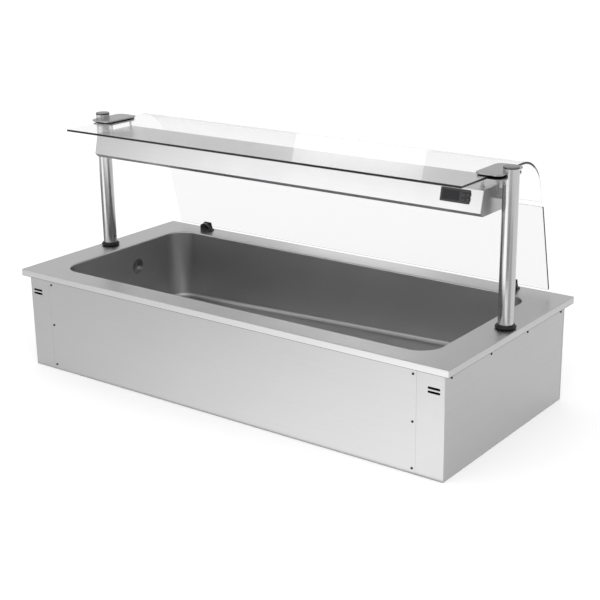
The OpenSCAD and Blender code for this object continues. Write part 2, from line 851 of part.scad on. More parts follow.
// The right end also carries the little shelf that holds the cable's gland
module right_end_casing() {
    shelf_w = in_x - gland_x + gland_r + 6;
    color("silver") difference() {
        union() {
            end_casing();
            translate([in_x - shelf_w, gland_y - 20, gland_z]) cube([shelf_w, 40, gland_plate_t]);
            translate([in_x - gland_plate_t, gland_y - 20, gland_z])
                cube([gland_plate_t, 40, 24]);
        }
        translate([gland_x, gland_y, gland_z - past])
            cylinder(r = gland_r + slip, h = gland_plate_t + 2 * past);
    }
}

// Rear panel, folded round both rear corners
module rear_panel() {
    color("silver") difference() {
        union() {
            translate([-body_x, in_y, 0]) cube([2 * body_x, case_t, deck_under]);
            both_ends() translate([in_x, body_y - rear_return, 0])
                cube([case_t, rear_return, deck_under]);
        }
        screw_holes();
    }
}

// Electrics in the right end: terminal box, gland, and the cable up the post
module terminal_box() {
    color("lightgray") translate([in_x - term_t, term_y - term_l / 2, term_z]) difference() {
        cube([term_t, term_l, term_h]);
        translate([2, 2, 2]) cube([term_t - 4, term_l - 4, term_h - 4]);
    }
}
module cable_gland() {
    color("dimgray") translate([gland_x, gland_y, gland_z]) difference() {
        union() {
            translate([0, 0, -gland_l + 12]) cylinder(r = gland_r, h = gland_l);
            translate([0, 0, -8]) cylinder(r = gland_r + 3.5, h = 8, $fn = 6);
            translate([0, 0, -gland_l + 12]) cylinder(r = gland_r + 2, h = 11);
            translate([0, 0, gland_plate_t]) cylinder(r = gland_r + 3.5, h = 5, $fn = 6);
        }
        translate([0, 0, -gland_l]) cylinder(r = gland_bore_r, h = 2 * gland_l);
    }
}
module lamp_cable() {
    bend = 9;
    down_x = post_x - cable_off;
    start_x = box_half - 40;
    low = term_z + term_h;
    color("dimgray") translate([0, cable_y, 0]) {
        translate([0, 0, cable_z]) x_rod(cable_r, start_x, down_x - bend - start_x);
        translate([down_x - bend, 0, cable_z - bend]) rotate([90, 0, 0])
            rotate_extrude(angle = 90) translate([bend, 0]) circle(cable_r);
        translate([down_x, 0, low]) cylinder(r = cable_r, h = cable_z - bend - low);
    }
}

// Posts
module post_tube() {
    difference() {
        translate([0, 0, deck_z]) cylinder(r = post_r, h = tube_top - deck_z);
        translate([0, 0, deck_z - past]) cylinder(r = post_in_r, h = tube_top);
        translate([0, 0, grub_z]) x_rod(grub_r + slip, -post_r - 5, post_wall + 8);
    }
}
module left_post_tube() {
    color("silver") translate([-post_x, post_y, 0]) mirror([1, 0, 0]) post_tube();
}
module right_post_tube() {
    color("silver") difference() {
        translate([post_x, post_y, 0]) post_tube();
        translate([0, cable_y, cable_z]) x_rod(cable_r + 2, post_x - post_r - 5, post_r);
    }
}
module base_rings() {
    color("black") at_posts() translate([0, 0, deck_z]) rotate_extrude()
        polygon([[post_r + slip, 0], [post_r + 4, 0], [post_r + 8, 0.4 * ring_h],
            [post_r + 2, ring_h], [post_r + slip, ring_h]]);
}
module post_cap_seals() {
    color("black") at_posts() translate([0, 0, tube_top]) difference() {
        cylinder(r = post_r - 0.2, h = seal_t);
        translate([0, 0, -past]) cylinder(r = post_in_r, h = seal_t + 2 * past);
    }
}
module post_caps() {
    color("silver") at_posts() translate([0, 0, tube_top + seal_t]) difference() {
        union() {
            rotate_extrude() {
                square([post_r - 1, cap_t]);
                square([post_r, cap_t - 1]);
                translate([post_r - 1, cap_t - 1]) circle(1);
            }
            translate([0, 0, -cap_plug]) cylinder(r = post_in_r - slip, h = cap_plug);
        }
        translate([0, 0, -cap_plug - past]) cylinder(r = rod_r + slip, h = cap_plug);
    }
}
module tie_rods() {
    color("gainsboro") at_posts() translate([0, 0, rod_low])
        cylinder(r = rod_r, h = tube_top + seal_t - 3 - rod_low);
}
module tie_rod_nuts() {
    seat = deck_under - frame_t - foot_t;
    color("gainsboro") at_posts() translate([0, 0, seat - washer_t - nut_h]) difference() {
        union() {
            cylinder(r = washer_r - 1, h = nut_h, $fn = 6);
            translate([0, 0, nut_h]) cylinder(r = washer_r, h = washer_t);
        }
        translate([0, 0, -past]) cylinder(r = rod_r + slip, h = nut_h + washer_t + 2 * past);
    }
}
module post_grub_screws() {
    color("dimgray") both_ends() translate([post_x, post_y, grub_z]) difference() {
        x_rod(grub_r, -post_r - 0.4, post_wall + 5);
        translate([-post_r - 1.4, 0, 0]) rotate([0, 90, 0]) cylinder(r = 1.5, h = 3, $fn = 6);
    }
}

// Canopy clamps: plates cut round the post, drawn at the right
module plate_shape(e) {
    l = post_x - plate_in - 2 * e;
    d = plate_back - plate_front - 2 * e;
    difference() {
        translate([(post_x + plate_in) / 2, (plate_front + plate_back) / 2]) rounded(l, d, plate_r);
        translate([post_x, post_y]) circle(post_r + slip);
    }
}
module at_stack_screws() {
    for (y = clamp_screw_y) translate([clamp_screw_x, y, 0]) children();
}
module upper_plate() {
    difference() {
        translate([0, 0, glass_z + gasket_t]) linear_extrude(plate_t) plate_shape(0);
        translate([0, 0, glass_z]) at_stack_screws()
            cylinder(r = clamp_screw_r + slip, h = gasket_t + plate_t - 1.5);
    }
}
module lower_plate() {
    difference() {
        translate([0, 0, stack_low]) linear_extrude(plate_t) plate_shape(lower_plate_inset);
        translate([0, 0, stack_low - past]) {
            at_stack_screws() cylinder(r = clamp_screw_r + hole_gap, h = plate_t + 2 * past);
            for (y = hanger_y) translate([hanger_x, y, 0])
                cylinder(r = 2.6, h = past + 3.5);
        }
    }
}
module left_upper_clamp_plate() {
    color("silver") mirror([1, 0, 0]) upper_plate();
}
module right_upper_clamp_plate() {
    color("silver") upper_plate();
}
module left_lower_clamp_plate() {
    color("silver") mirror([1, 0, 0]) lower_plate();
}
module right_lower_clamp_plate() {
    color("silver") lower_plate();
}
module glass_gaskets() {
    color("black") both_ends() for (z = [glass_z, glass_z - glass_t - gasket_t])
        translate([0, 0, z]) difference() {
            linear_extrude(gasket_t) plate_shape(gasket_inset + 1);
            translate([0, 0, -past]) at_stack_screws()
                cylinder(r = clamp_screw_r + hole_gap, h = gasket_t + 2 * past);
        }
}
module clamp_screws() {
    color("dimgray") both_ends() translate([0, 0, stack_low]) at_stack_screws() {
        translate([0, 0, -3]) cylinder(r = 4.6, h = 3);
        cylinder(r = clamp_screw_r, h = glass_z + gasket_t + plate_t - 2.5 - stack_low);
    }
}

// Upper glass: one bent sheet, drawn about the bend's centre from its front edge to its tail
bend_steps = 24;
function bend_arc(r, way) = [
    for (k = [0 : bend_steps]) let (a = bend_angle * (way > 0 ? k : bend_steps - k) / bend_steps)
        [r * sin(a), r * cos(a)]];
function tail_end(r) = [
    r * sin(bend_angle) + tail_l * cos(bend_angle), r * cos(bend_angle) - tail_l * sin(bend_angle)];
module upper_glass() {
    front = -glass_front - bend_start;
    inner_r = bend_r - glass_t;
    color("lightcyan", 0.4) translate([-glass_half, bend_start, glass_z - bend_r])
        rotate([90, 0, 90]) linear_extrude(2 * glass_half)
            polygon(concat([[front, inner_r], [front, bend_r]], bend_arc(bend_r, 1),
                [tail_end(bend_r), tail_end(inner_r)], bend_arc(inner_r, -1)));
}

// Lower glass: flat, leaning in towards the operator
module on_pane() {
    translate([0, pane_y, deck_z + pane_gap]) rotate([pane_lean, 0, 0]) children();
}
module lower_glass() {
    color("lightcyan", 0.4) on_pane() translate([0, glass_t / 2, pane_h / 2]) rotate([90, 0, 0])
        linear_extrude(glass_t) rounded(2 * pane_half, pane_h, 3);
}

// Glass clamp: a D-shaped cheek in front of the pane, on a foot that runs under it
module glass_clamp() {
    r = clamp_w / 2;
    difference() {
        translate([clamp_x, cheek_front, deck_z]) intersection() {
            translate([0, clamp_foot_d / 2, 0])
                linear_extrude(2 * r) rounded(clamp_w, clamp_foot_d, clamp_corner_r);
            union() {
                translate([0, 0, cheek_low]) y_rod(r, 0, 2 * cheek_t);
                translate([-r, 0, 0]) cube([clamp_w, 2 * cheek_t, cheek_low]);
                translate([-r, 0, 0]) cube([clamp_w, clamp_foot_d, foot_plate_t]);
            }
        }
        intersection() {
            on_pane() translate([clamp_x - r - past, -glass_t / 2 - pad_t, -clamp_reach / 2])
                cube([clamp_w + 2 * past, clamp_reach, clamp_reach]);
            translate([clamp_x, pane_y, deck_z + foot_plate_t]) block(2 * clamp_w, clamp_reach, clamp_reach);
        }
        at_clamp_screws() translate([0, 0, deck_z - past])
            cylinder(r = clamp_screw_r + slip, h = foot_plate_t + past - 0.4);
    }
}
module left_glass_clamp() {
    color("black") mirror([1, 0, 0]) glass_clamp();
}
module right_glass_clamp() {
    color("black") glass_clamp();
}
module glass_clamp_backs() {
    color("black") for (s = [-1, 1]) difference() {
        on_pane() translate([s * clamp_x - clamp_back_w / 2, glass_t / 2 + pad_t, -20])
            cube([clamp_back_w, clamp_back_t, 20 + pad_h]);
        translate([s * clamp_x, pane_y, deck_z - 30]) block(2 * clamp_w, 80, 30 + foot_plate_t);
    }
}
module glass_clamp_pads() {
    color("dimgray") for (s = [-1, 1], y = [-glass_t / 2 - pad_t, glass_t / 2])
        on_pane() translate([s * clamp_x - clamp_back_w / 2, y, 0]) cube([clamp_back_w, pad_t, pad_h]);
}
module glass_clamp_screws() {
    color("dimgray") translate([0, 0, deck_under - frame_t]) at_clamp_screws() {
        translate([0, 0, -3]) cylinder(r = 4.6, h = 3);
        cylinder(r = clamp_screw_r, h = frame_t + deck_t + foot_plate_t - 1.4);
    }
}

// Light box: outline p extruded along X, from x to x + l
module along_box(p, x, l) {
    translate([x, 0, deck_z]) rotate([90, 0, 90]) linear_extrude(l) polygon(p);
}
// A place on the light box's leaning front: -Y is out of the face, -Z down the face
module on_face() {
    translate([0, box_front, deck_z + box_top]) rotate([-face_slope, 0, 0]) children();
}
module light_box_housing() {
    half = box_half - box_t;
    color("gainsboro") difference() {
        along_box(box_profile, -half, 2 * half);
        along_box(inset(box_profile, box_t), -half - past, 2 * half + 2 * past);
        translate([-window_half, light_front, deck_z + box_low - past])
            cube([2 * window_half, light_back - light_front, box_t + 2 * past]);
        on_face() translate([ctrl_x, 0, ctrl_mid]) translate([-case_w / 2 - 0.3, -past, -case_h / 2 - 0.3])
            cube([case_w + 0.6, box_t + 3, case_h + 0.6]);
        both_ends() for (y = hanger_y)
            translate([hanger_x, y, deck_z + box_top - 5]) cylinder(r = hanger_r + hole_gap, h = 10);
    }
}
module box_end() {
    along_box(box_profile, box_half - box_t, box_t);
    difference() {
        along_box(inset(box_profile, box_t + slip), box_half - box_t - end_flange, end_flange);
        along_box(inset(box_profile, 2 * box_t + slip), box_half - box_t - end_flange - past,
            end_flange + past);
    }
}
module light_box_left_end() {
    color("silver") mirror([1, 0, 0]) box_end();
}
module light_box_right_end() {
    color("silver") difference() {
        box_end();
        translate([0, cable_y, cable_z]) x_rod(cable_r + hole_gap, box_half - 10, 20);
    }
}
module light_diffuser() {
    color("white") translate([-window_half - diffuser_lap, light_front - diffuser_lap,
        deck_z + box_low + box_t])
        cube([2 * (window_half + diffuser_lap), light_back - light_front + 2 * diffuser_lap, diffuser_t]);
}

// Light source: a board of lamps under the box's top, and its driver
module led_board() {
    top = deck_z + box_top - box_t;
    color("white") translate([0, board_y, top - 1.6]) {
        block(2 * window_half - 40, board_w, 1.6);
        for (k = [-lamps : lamps]) translate([k * lamp_pitch, 0, -1.4]) block(5, 5, 1.4);
    }
}
module led_driver() {
    color("whitesmoke") translate([driver_x, board_y + driver_off, deck_z + box_top - box_t - driver_h]) {
        block(driver_l, driver_w, driver_h);
        translate([0, 0, driver_h - 3]) block(driver_l + 2 * driver_lug, driver_w - 12, 3);
    }
}
module hanger_studs() {
    color("gainsboro") both_ends() for (y = hanger_y)
        translate([hanger_x, y, deck_z + box_top]) {
            translate([0, 0, -8]) cylinder(r = hanger_r, h = 8 + stack_low - deck_z - box_top);
            cylinder(r = hanger_r + 3, h = 2);
            translate([0, 0, -box_t - 4]) cylinder(r = hanger_r + 2.6, h = 4, $fn = 6);
            translate([0, 0, stack_low - deck_z - box_top]) cylinder(r = 2.5, h = 3.2);
        }
}
module box_brackets() {
    color("silver") both_ends() difference() {
        union() {
            translate([box_half, post_y - bracket_d / 2, deck_z + bracket_z])
                cube([post_x - box_half, bracket_d, bracket_h]);
            for (z = [7, 21]) translate([box_half + 9, post_y, deck_z + bracket_z + z])
                y_rod(2.6, -bracket_d / 2 - 1.6, 1.7);
        }
        translate([post_x, post_y, deck_z]) cylinder(r = post_r + slip, h = post_h);
        translate([0, cable_y, cable_z]) x_rod(cable_r + hole_gap, box_half - past, 40);
    }
}

// Controller: case with its bezel, window and four keys
module at_key(c, r) {
    on_face() translate([ctrl_x + key_col + c * key_pitch_x, 0, ctrl_mid + (0.5 - r) * key_pitch_z])
        children();
}
module controller_case() {
    color("black") difference() {
        on_face() translate([ctrl_x, 0, ctrl_mid]) difference() {
            union() {
                translate([0, 0, 0]) rotate([90, 0, 0]) linear_extrude(bezel_t) rounded(ctrl_w, ctrl_h, 2);
                translate([-case_w / 2, 0, -case_h / 2]) cube([case_w, case_deep, case_h]);
            }
            translate([-ctrl_w / 2 + 7, -bezel_t - past, -window_h / 2])
                cube([window_w, window_t + past, window_h]);
        }
        for (c = [0, 1], r = [0, 1]) at_key(c, r)
            translate([-key_s / 2 - key_gap, -bezel_t - past, -key_s / 2 - key_gap])
                cube([key_s + 2 * key_gap, bezel_t + past, key_s + 2 * key_gap]);
    }
}
module controller_window() {
    color([0.1, 0.1, 0.12]) on_face() translate([ctrl_x - ctrl_w / 2 + 7, -bezel_t, ctrl_mid - window_h / 2])
        cube([window_w, window_t, window_h]);
}
module key(c, r) {
    color("dimgray") at_key(c, r) translate([0, -0.3 - key_travel, 0]) rotate([90, 0, 0])
        linear_extrude(bezel_t + key_proud - 0.3 - key_travel) rounded(key_s, key_s, 1.2);
}
module key_up() {
    key(0, 0);
}
module key_down() {
    key(0, 1);
}
module key_set() {
    key(1, 0);
}
module key_power() {
    key(1, 1);
}

deck_top();
well_tank();
insulation_jacket();
evaporator_coil();
pipe_stubs();
probe_pocket();
temperature_probe();
drain_fitting();
drain_gasket();
drain_locknut();
drain_strainer();
overflow_cup();
overflow_pipe();
hanging_frame();
support_rails();
bottom_pan();
service_tray();
front_panel();
left_end_casing();
right_end_casing();
rear_panel();
casing_screws();
terminal_box();
cable_gland();
lamp_cable();
left_post_tube();
right_post_tube();
base_rings();
post_cap_seals();
post_caps();
tie_rods();
tie_rod_nuts();
post_grub_screws();
left_upper_clamp_plate();
right_upper_clamp_plate();
left_lower_clamp_plate();
right_lower_clamp_plate();
glass_gaskets();
clamp_screws();
upper_glass();
lower_glass();
left_glass_clamp();
right_glass_clamp();
glass_clamp_backs();
glass_clamp_pads();
glass_clamp_screws();
light_box_housing();
light_box_left_end();
light_box_right_end();
light_diffuser();
led_board();
led_driver();
hanger_studs();
box_brackets();
controller_case();
controller_window();
key_up();
key_down();
key_set();
key_power();
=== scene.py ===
import math

import bmesh
import bpy
from bpy.props import FloatProperty, FloatVectorProperty, PointerProperty
from mathutils import Matrix, Vector


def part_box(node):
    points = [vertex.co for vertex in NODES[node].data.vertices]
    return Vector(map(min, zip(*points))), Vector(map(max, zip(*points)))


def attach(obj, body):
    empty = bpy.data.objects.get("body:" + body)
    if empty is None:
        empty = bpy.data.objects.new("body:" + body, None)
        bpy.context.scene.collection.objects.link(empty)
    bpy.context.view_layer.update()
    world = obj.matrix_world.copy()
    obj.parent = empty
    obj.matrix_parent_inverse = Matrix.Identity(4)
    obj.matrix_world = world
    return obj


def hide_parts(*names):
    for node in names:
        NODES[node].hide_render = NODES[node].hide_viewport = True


bl_info = {
    "name": "Drop-in cold well",
    "version": (1, 0, 0),
    "blender": (4, 5, 0),
    "location": "3D View > Sidebar > Cold well",
    "description": "Dresses the packed cold well with modelled sheet metal, glass and fittings",
    "category": "Object",
}

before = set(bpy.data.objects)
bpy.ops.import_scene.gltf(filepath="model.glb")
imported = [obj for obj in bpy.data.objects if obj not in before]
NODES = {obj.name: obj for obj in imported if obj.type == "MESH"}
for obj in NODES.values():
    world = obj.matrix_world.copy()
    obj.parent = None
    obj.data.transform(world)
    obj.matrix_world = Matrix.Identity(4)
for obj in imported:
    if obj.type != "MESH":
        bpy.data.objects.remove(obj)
MM = 0.001
ROOT = "well"
SIDES = ((-1, "left"), (1, "right"))


# ---------------- sizes read from the frame
def box_mm(node):
    """Lowest and highest corner of a node, in millimetres."""
    lo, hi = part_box(node)
    return lo / MM, hi / MM


DECK_LO, DECK_HI = box_mm("deck_top")
DECK_Z = DECK_HI.z
DECK_L, DECK_D = DECK_HI.x - DECK_LO.x, DECK_HI.y - DECK_LO.y
BODY_X, BODY_Y, CASE_TOP = box_mm("rear_panel")[1]
PANEL_LO, PANEL_HI = box_mm("front_panel")
TUBE_LO, TUBE_HI = box_mm("right_post_tube")
POST_X, POST_Y = (TUBE_LO.x + TUBE_HI.x) / 2, (TUBE_LO.y + TUBE_HI.y) / 2
POST_R = (TUBE_HI.x - TUBE_LO.x) / 2
GLASS_LO, GLASS_HI = box_mm("upper_glass")
PANE_LO, PANE_HI = box_mm("lower_glass")
PLATE_LO, PLATE_HI = box_mm("right_upper_clamp_plate")
LOWER_LO, LOWER_HI = box_mm("right_lower_clamp_plate")
END_X = box_mm("light_box_right_end")[1].x
HOUSING_X = box_mm("light_box_housing")[1].x
CHEEK_LO, CHEEK_HI = box_mm("right_glass_clamp")
CAP_LO, CAP_HI = box_mm("post_caps")
SEAL_LO, SEAL_HI = box_mm("post_cap_seals")
GLAND_LO, GLAND_HI = box_mm("cable_gland")

# ---------------- sizes in millimetres
WELL_L, WELL_D, WELL_R, WELL_Y = 1304.0, 538.0, 65.0, -3.0
FLOOR_LOW, FLOOR_FALL, FLOOR_R = 80.0, 40.0, 15.0
TANK_T, SHEET_T, DECK_T, TUBE_T = 1.2, 1.2, 2.0, 2.0
DRAIN_X, DISH_Z, DISH_R, TAIL_R = -585.0, 76.05, 50.0, 24.0
OVERFLOW_Y, OVERFLOW_Z, OVERFLOW_R = 60.0, 231.0, 25.0
SLOT_X, SLOT_L, SLOT_H = 700.0, 36.0, 6.6
SLOT_Z = (245.0, 234.3)
LIP_H, RETURN_W = 20.0, 13.0
MOUTH_SEG = 16
REAR_WRAP, PANEL_GAP = 8.0, 0.3
RIB_IN, RIB_LOW, RIB_HIGH, RIB_W, RIB_D = 430.0, 40.0, 240.0, 40.0, 8.0
SHELF_IN, SHELF_W, SHELF_LOW, SHELF_TOP = 16.0, 40.0, 38.0, 40.0
SCREW_IN, SCREW_Z, SCREW_Y = 10.0, (16.0, 143.5, 271.0), (-298.0, -97.7, 102.7, 303.0)
SCREW_HEAD = ((0, 0.5), (2.1, 0.5), (2.2, 1.6), (2.6, 1.75), (3.0, 1.4), (3.3, 0.8), (3.4, 0.1), (3.4, 0))
GLASS_T, BEND_R, BEND_ANGLE, TAIL_L = 6.0, 115.0, math.radians(74), 50.0
BEND_Y, PANE_Y, PANE_GAP, LEAN = 140.0, 317.0, 15.0, math.radians(13.4)
LEAN_COS, LEAN_SIN = math.cos(LEAN), math.sin(LEAN)
RING_W, RING_H, SEAL_IN, CAP_WALL = 8.0, 12.0, 2.0, 2.2
PLATE_R, LOWER_IN, GASKET_IN, GASKET_T, PAD_T, CHEEK_R = 18.0, 2.0, 2.5, 1.5, 1.5, 12.0
BOX_TOP, BOX_LOW, BOX_FRONT, BOX_BACK = 375.0, 306.5, -62.0, 92.0
BOX_LEAN, BOX_CHAMFER, BOX_T = 14.0, 10.5, 1.5
WINDOW_X, WINDOW_FRONT, WINDOW_BACK = 640.0, -45.0, 74.0
CTRL_X, CTRL_MID, CTRL_W, CTRL_H, CTRL_DEEP, BEZEL_T = 597.0, -22.4, 85.0, 36.0, 58.0, 3.5
WIN_W, WIN_IN, WIN_EDGE = 48.0, 7.0, 6.0
KEY_S, KEY_PROUD, KEY_IN, KEY_GAP, ROW_GAP, KEY_PLAY = 9.0, 0.8, 16.0, 2.5, 4.0, 2.0
FACE_SLOPE = math.atan2(BOX_LEAN, BOX_TOP - BOX_LOW - BOX_CHAMFER)

# ---------------- the stage, in metres and degrees
CAMERA_AT, CAMERA_LENS, CAMERA_SENSOR = (2.1856, -2.8537, 1.4407), 77.4, 36.0
CAMERA_TURN, CAMERA_DROP, CAMERA_ROLL = 36.80, 18.30, -0.84
FLOOR_REACH, FLOOR_CELLS, FLOOR_Z = 60.0, 24, -0.0004
LAMPS = (("key_light", (1.7, -2.4, 2.3), (0.75, -0.9, 0.0), (2.0, 2.0), "ELLIPSE"),
         ("rear_light", (-2.37, 3.8, 1.9), (-2.37, 0.0, 0.6), (1.0, 1.5), "RECTANGLE"),
         ("front_light", (-1.0, -2.5, 0.9), (0.0, 0.0, 0.62), (2.8, 1.0), "ELLIPSE"))
CARD_X = (-1.2, -0.75, -0.3, 0.15, 0.6, 0.95, 1.3)
CARD_Y = (-1.9, -1.45, -0.95, -0.5, -0.335)
CARD_FADE_X = (0.0, 0.15, 0.45, 0.75, 1.0, 0.9, 0.0)
CARD_FADE_Y = (0.0, 0.7, 1.0, 1.0, 1.0)
CARD_Z, WHITE_FAN_Z, GREY_FAN_Z = 0.002, 0.303, 0.3
FRONT_LINES, SIDE_LINES = (-0.37, -0.43, -1.5, -1.8), (0.78, 0.84, 1.7, 2.0)
SIDE_SHADE = 1.8


def floor_z(x):
    """Height of the well's floor at x."""
    return FLOOR_LOW + FLOOR_FALL * (x + WELL_L / 2) / WELL_L


# ---------------- settings a user may change
def amount(name, text, default, top=5.0, **more):
    return FloatProperty(name=name, description=text, default=default, min=0.0, max=top, **more)


def length(name, text, default):
    return amount(name, text, default, 0.05, subtype="DISTANCE", unit="LENGTH", precision=4)


def share(name, text, default):
    return amount(name, text, default, 1.0, subtype="FACTOR")


def power(name, text, default):
    return amount(name, text, default, 1000.0, unit="POWER")


def colour(name, text, default):
    return FloatVectorProperty(name=name, description=text, default=default, min=0.0, max=1.0,
                               size=3, subtype="COLOR")


class ColdWellDeck(bpy.types.PropertyGroup):
    """Sheet metal of the deck and the well"""
    rim_radius: length("Rim radius", "Bend where the deck turns down into the well", 0.004)
    edge_radius: length("Edge radius", "Bend along the deck's outer edge", 0.0022)
    corner_radius: length("Corner radius", "Radius of the deck's corners in plan", 0.003)
    steel: colour("Steel", "Colour of the deck's steel", (0.49, 0.485, 0.49))
    roughness: share("Roughness", "How matt the brushed steel is", 0.33)
    tank_steel: colour("Tank steel", "Colour of the well's steel", (0.45, 0.445, 0.45))
    tank_roughness: share("Tank roughness", "How matt the well is", 0.37)


class ColdWellCasing(bpy.types.PropertyGroup):
    """Panels under the deck"""
    bend_radius: length("Bend radius", "Outside bend at the casing's corners", 0.003)
    steel: colour("Steel", "Colour of the casing's steel", (0.39, 0.385, 0.39))
    roughness: share("Roughness", "How matt the casing is", 0.34)


class ColdWellCanopy(bpy.types.PropertyGroup):
    """Posts, clamps and glass"""
    tube_steel: colour("Tube steel", "Colour of the posts", (0.5, 0.495, 0.5))
    cap_steel: colour("Cap steel", "Colour of the post caps", (0.19, 0.185, 0.19))
    plate_steel: colour("Plate steel", "Colour of the clamp plates", (0.34, 0.335, 0.34))
    tube_roughness: share("Tube roughness", "How matt the posts are", 0.22)
    glass: colour("Glass", "Tint of the glass", (0.885, 0.88, 0.885))
    # Painted shade and painted light: dark and pale colours for the same ground glass edges.
    glass_edge: colour("Glass edge", "Colour of the glass's darker edges", (0.008, 0.01, 0.01))
    pane_edge: colour("Pane edge", "Colour of the glass's paler edges", (0.72, 0.76, 0.75))
    edge_grind: length("Edge grind", "Width of the ground bevel on the glass", 0.0008)
    black: colour("Black", "Colour of the black mouldings", (0.012, 0.012, 0.013))


class ColdWellBox(bpy.types.PropertyGroup):
    """Light box and controller"""
    steel: colour("Steel", "Colour of the box's steel", (0.54, 0.535, 0.54))
    roughness: share("Roughness", "How matt the box is", 0.3)
    opal: colour("Opal", "Colour of the light's cover", (0.9, 0.91, 0.9))
    window: colour("Window", "Colour of the controller's window", (0.006, 0.006, 0.008))
    keys: colour("Keys", "Colour of the keys", (0.03, 0.03, 0.032))


class ColdWellStage(bpy.types.PropertyGroup):
    """Floor and light"""
    floor: colour("Floor", "Colour of the floor", (0.88, 0.88, 0.88))
    glow: amount("Glow", "Light that the floor itself gives", 0.35, 2.0)
    sky: amount("Sky", "Strength of the even light", 0.85)
    key_light: power("Key light", "Strength of the light at the front right", 14.0)
    rear_light: power("Rear light", "Strength of the light behind the left end", 3.1)
    front_light: power("Front light", "Strength of the low light in front", 9.0)
    white_card: amount("White cards", "Brightness of the cards that the steel reflects", 2.1)
    shade: share("Shade", "Brightness of the grey cards that the posts reflect", 0.34)


# ---------------- shader expressions
class Val:
    """A shader value that +, - and * work on."""

    def __init__(self, shade, out):
        self.shade, self.out = shade, out

    def __add__(self, other):
        return self.shade.math("ADD", self, other)

    def __sub__(self, other):
        return self.shade.math("SUBTRACT", self, other)

    def __mul__(self, other):
        return self.shade.math("MULTIPLY", self, other)


class Shade:
    """One material: its Principled shader and the nodes that feed it."""

    def __init__(self, name, **values):
        self.mat = bpy.data.materials.new(name)
        self.mat.use_nodes = True
        self.tree = self.mat.node_tree
        self.tree.nodes.clear()
        self.end = self.tree.nodes.new("ShaderNodeOutputMaterial")
        self.bsdf = self.tree.nodes.new("ShaderNodeBsdfPrincipled")
        self.tree.links.new(self.bsdf.outputs[0], self.end.inputs["Surface"])
        self.base(**values)

    def base(self, **values):
        """Inputs of the Principled shader, named with underscores."""
        for key, value in values.items():
            self.put(self.bsdf.inputs[key.replace("_", " ").title().replace("Ior", "IOR")], value)

    def put(self, socket, value):
        if isinstance(value, Val):
            self.tree.links.new(value.out, socket)
        elif socket.type == "RGBA":
            socket.default_value = (*value[:3], 1.0)
        else:
            socket.default_value = value

    def node(self, kind, settings, values, out=0):
        """A node of any kind: its settings first, then its sockets, then the output wanted."""
        n = self.tree.nodes.new(kind)
        for key, value in settings.items():
            setattr(n, key, value)
        for key, value in values.items():
            self.put(n.inputs[key], value)
        return Val(self, n.outputs[out])

    def math(self, what, a, b):
        return self.node("ShaderNodeMath", {"operation": what}, {0: a, 1: b})

    def place(self, scale=(1, 1, 1)):
        """Object coordinates in metres, stretched by scale."""
        at = self.node("ShaderNodeTexCoord", {}, {}, "Object")
        return self.node("ShaderNodeVectorMath", {"operation": "MULTIPLY"}, {0: at, 1: Vector(scale)})

    def noise(self, at, scale, detail=3.0, rough=0.5):
        return self.node("ShaderNodeTexNoise", {}, {"Vector": at, "Scale": scale, "Detail": detail,
                                                     "Roughness": rough})

    def cells(self, at, scale, out):
        return self.node("ShaderNodeTexVoronoi", {"feature": "F1"}, {"Vector": at, "Scale": scale}, out)

    def tint(self, factor, a, b):
        return self.node("ShaderNodeMix", {"data_type": "RGBA"}, {0: factor, 6: a, 7: b}, 2)

    def map(self, value, low, high, to_low, to_high):
        return self.node("ShaderNodeMapRange", {"clamp": True},
                         {0: value, 1: low, 2: high, 3: to_low, 4: to_high})

    def look(self, tone, dark, light, rough, height=None, depth=0.0, strength=0.5):
        """Colour that follows tone from dark to light, roughness and relief. Returns the material."""
        self.base(Base_Color=self.tint(tone, dark, light), Roughness=rough)
        if height:
            self.base(Normal=self.node("ShaderNodeBump", {}, {"Height": height, "Distance": depth,
                                                               "Strength": strength}))
        return self.mat


def shaded(rgb, k):
    return tuple(min(1.0, c * k) for c in rgb)


def brushed(name, rgb, rough, scale, depth=0.00004, marks=0.05):
    """Steel with a drawn-out grain, faint rub marks and cloudy finger grease."""
    s = Shade(name, metallic=1.0)
    grain = s.noise(s.place(scale), 1.0, 4.0, 0.62)
    coarse = s.noise(s.place([c * 0.22 for c in scale]), 1.0, 2.0)
    cloud = s.noise(s.place(), 5.5, 3.0, 0.6)
    tone = s.map(grain * 0.6 + coarse * 0.4, 0.3, 0.7, 0.0, 1.0)
    rubbed = s.map(cloud, 0.3, 0.7, rough - marks * 0.5, rough + marks * 0.5)
    return s.look(tone, shaded(rgb, 0.955), shaded(rgb, 1.03), rubbed + (grain - 0.5) * 0.12,
                  grain * 0.7 + coarse * 0.3, depth)


def galvanised(name):
    """Zinc with its spangle."""
    s = Shade(name, metallic=0.85)
    at = s.place()
    tone = s.node("ShaderNodeSeparateColor", {}, {0: s.cells(at, 90.0, "Color")})
    cloud = s.noise(at, 30.0)
    return s.look(tone, (0.42, 0.43, 0.445), (0.58, 0.59, 0.6),
                  s.map(tone * 0.6 + cloud * 0.4, 0.2, 0.8, 0.34, 0.52), cloud, 0.0001, 0.3)


def moulded(name, rgb, rough, grain=2600.0, depth=0.00003, spread=0.12, gloss=0.5):
    """Moulded plastic or rubber: fine texture, slight unevenness, dull rubbed places."""
    s = Shade(name, specular_ior_level=gloss)
    at = s.place()
    cloud = s.noise(at, 22.0)
    return s.look(cloud, shaded(rgb, 0.86), shaded(rgb, 1.14),
                  s.map(cloud, 0.3, 0.7, rough - spread * 0.5, rough + spread * 0.5),
                  s.noise(at, grain, 2.0), depth)


def shaded_foam_skin(name):
    """Closed-cell foam painted near black as the shade inside the casing, with cells showing through its
    skin.
    """
    s = Shade(name)
    at = s.place()
    cells = s.cells(at, 260.0, "Distance")
    cloud = s.noise(at, 9.0, 4.0)
    return s.look(cloud, (0.012, 0.012, 0.013), (0.022, 0.022, 0.024),
                  s.map(cells, 0.0, 0.7, 0.7, 0.92), cells * 0.7 + cloud * 0.3, 0.0006, 0.6)


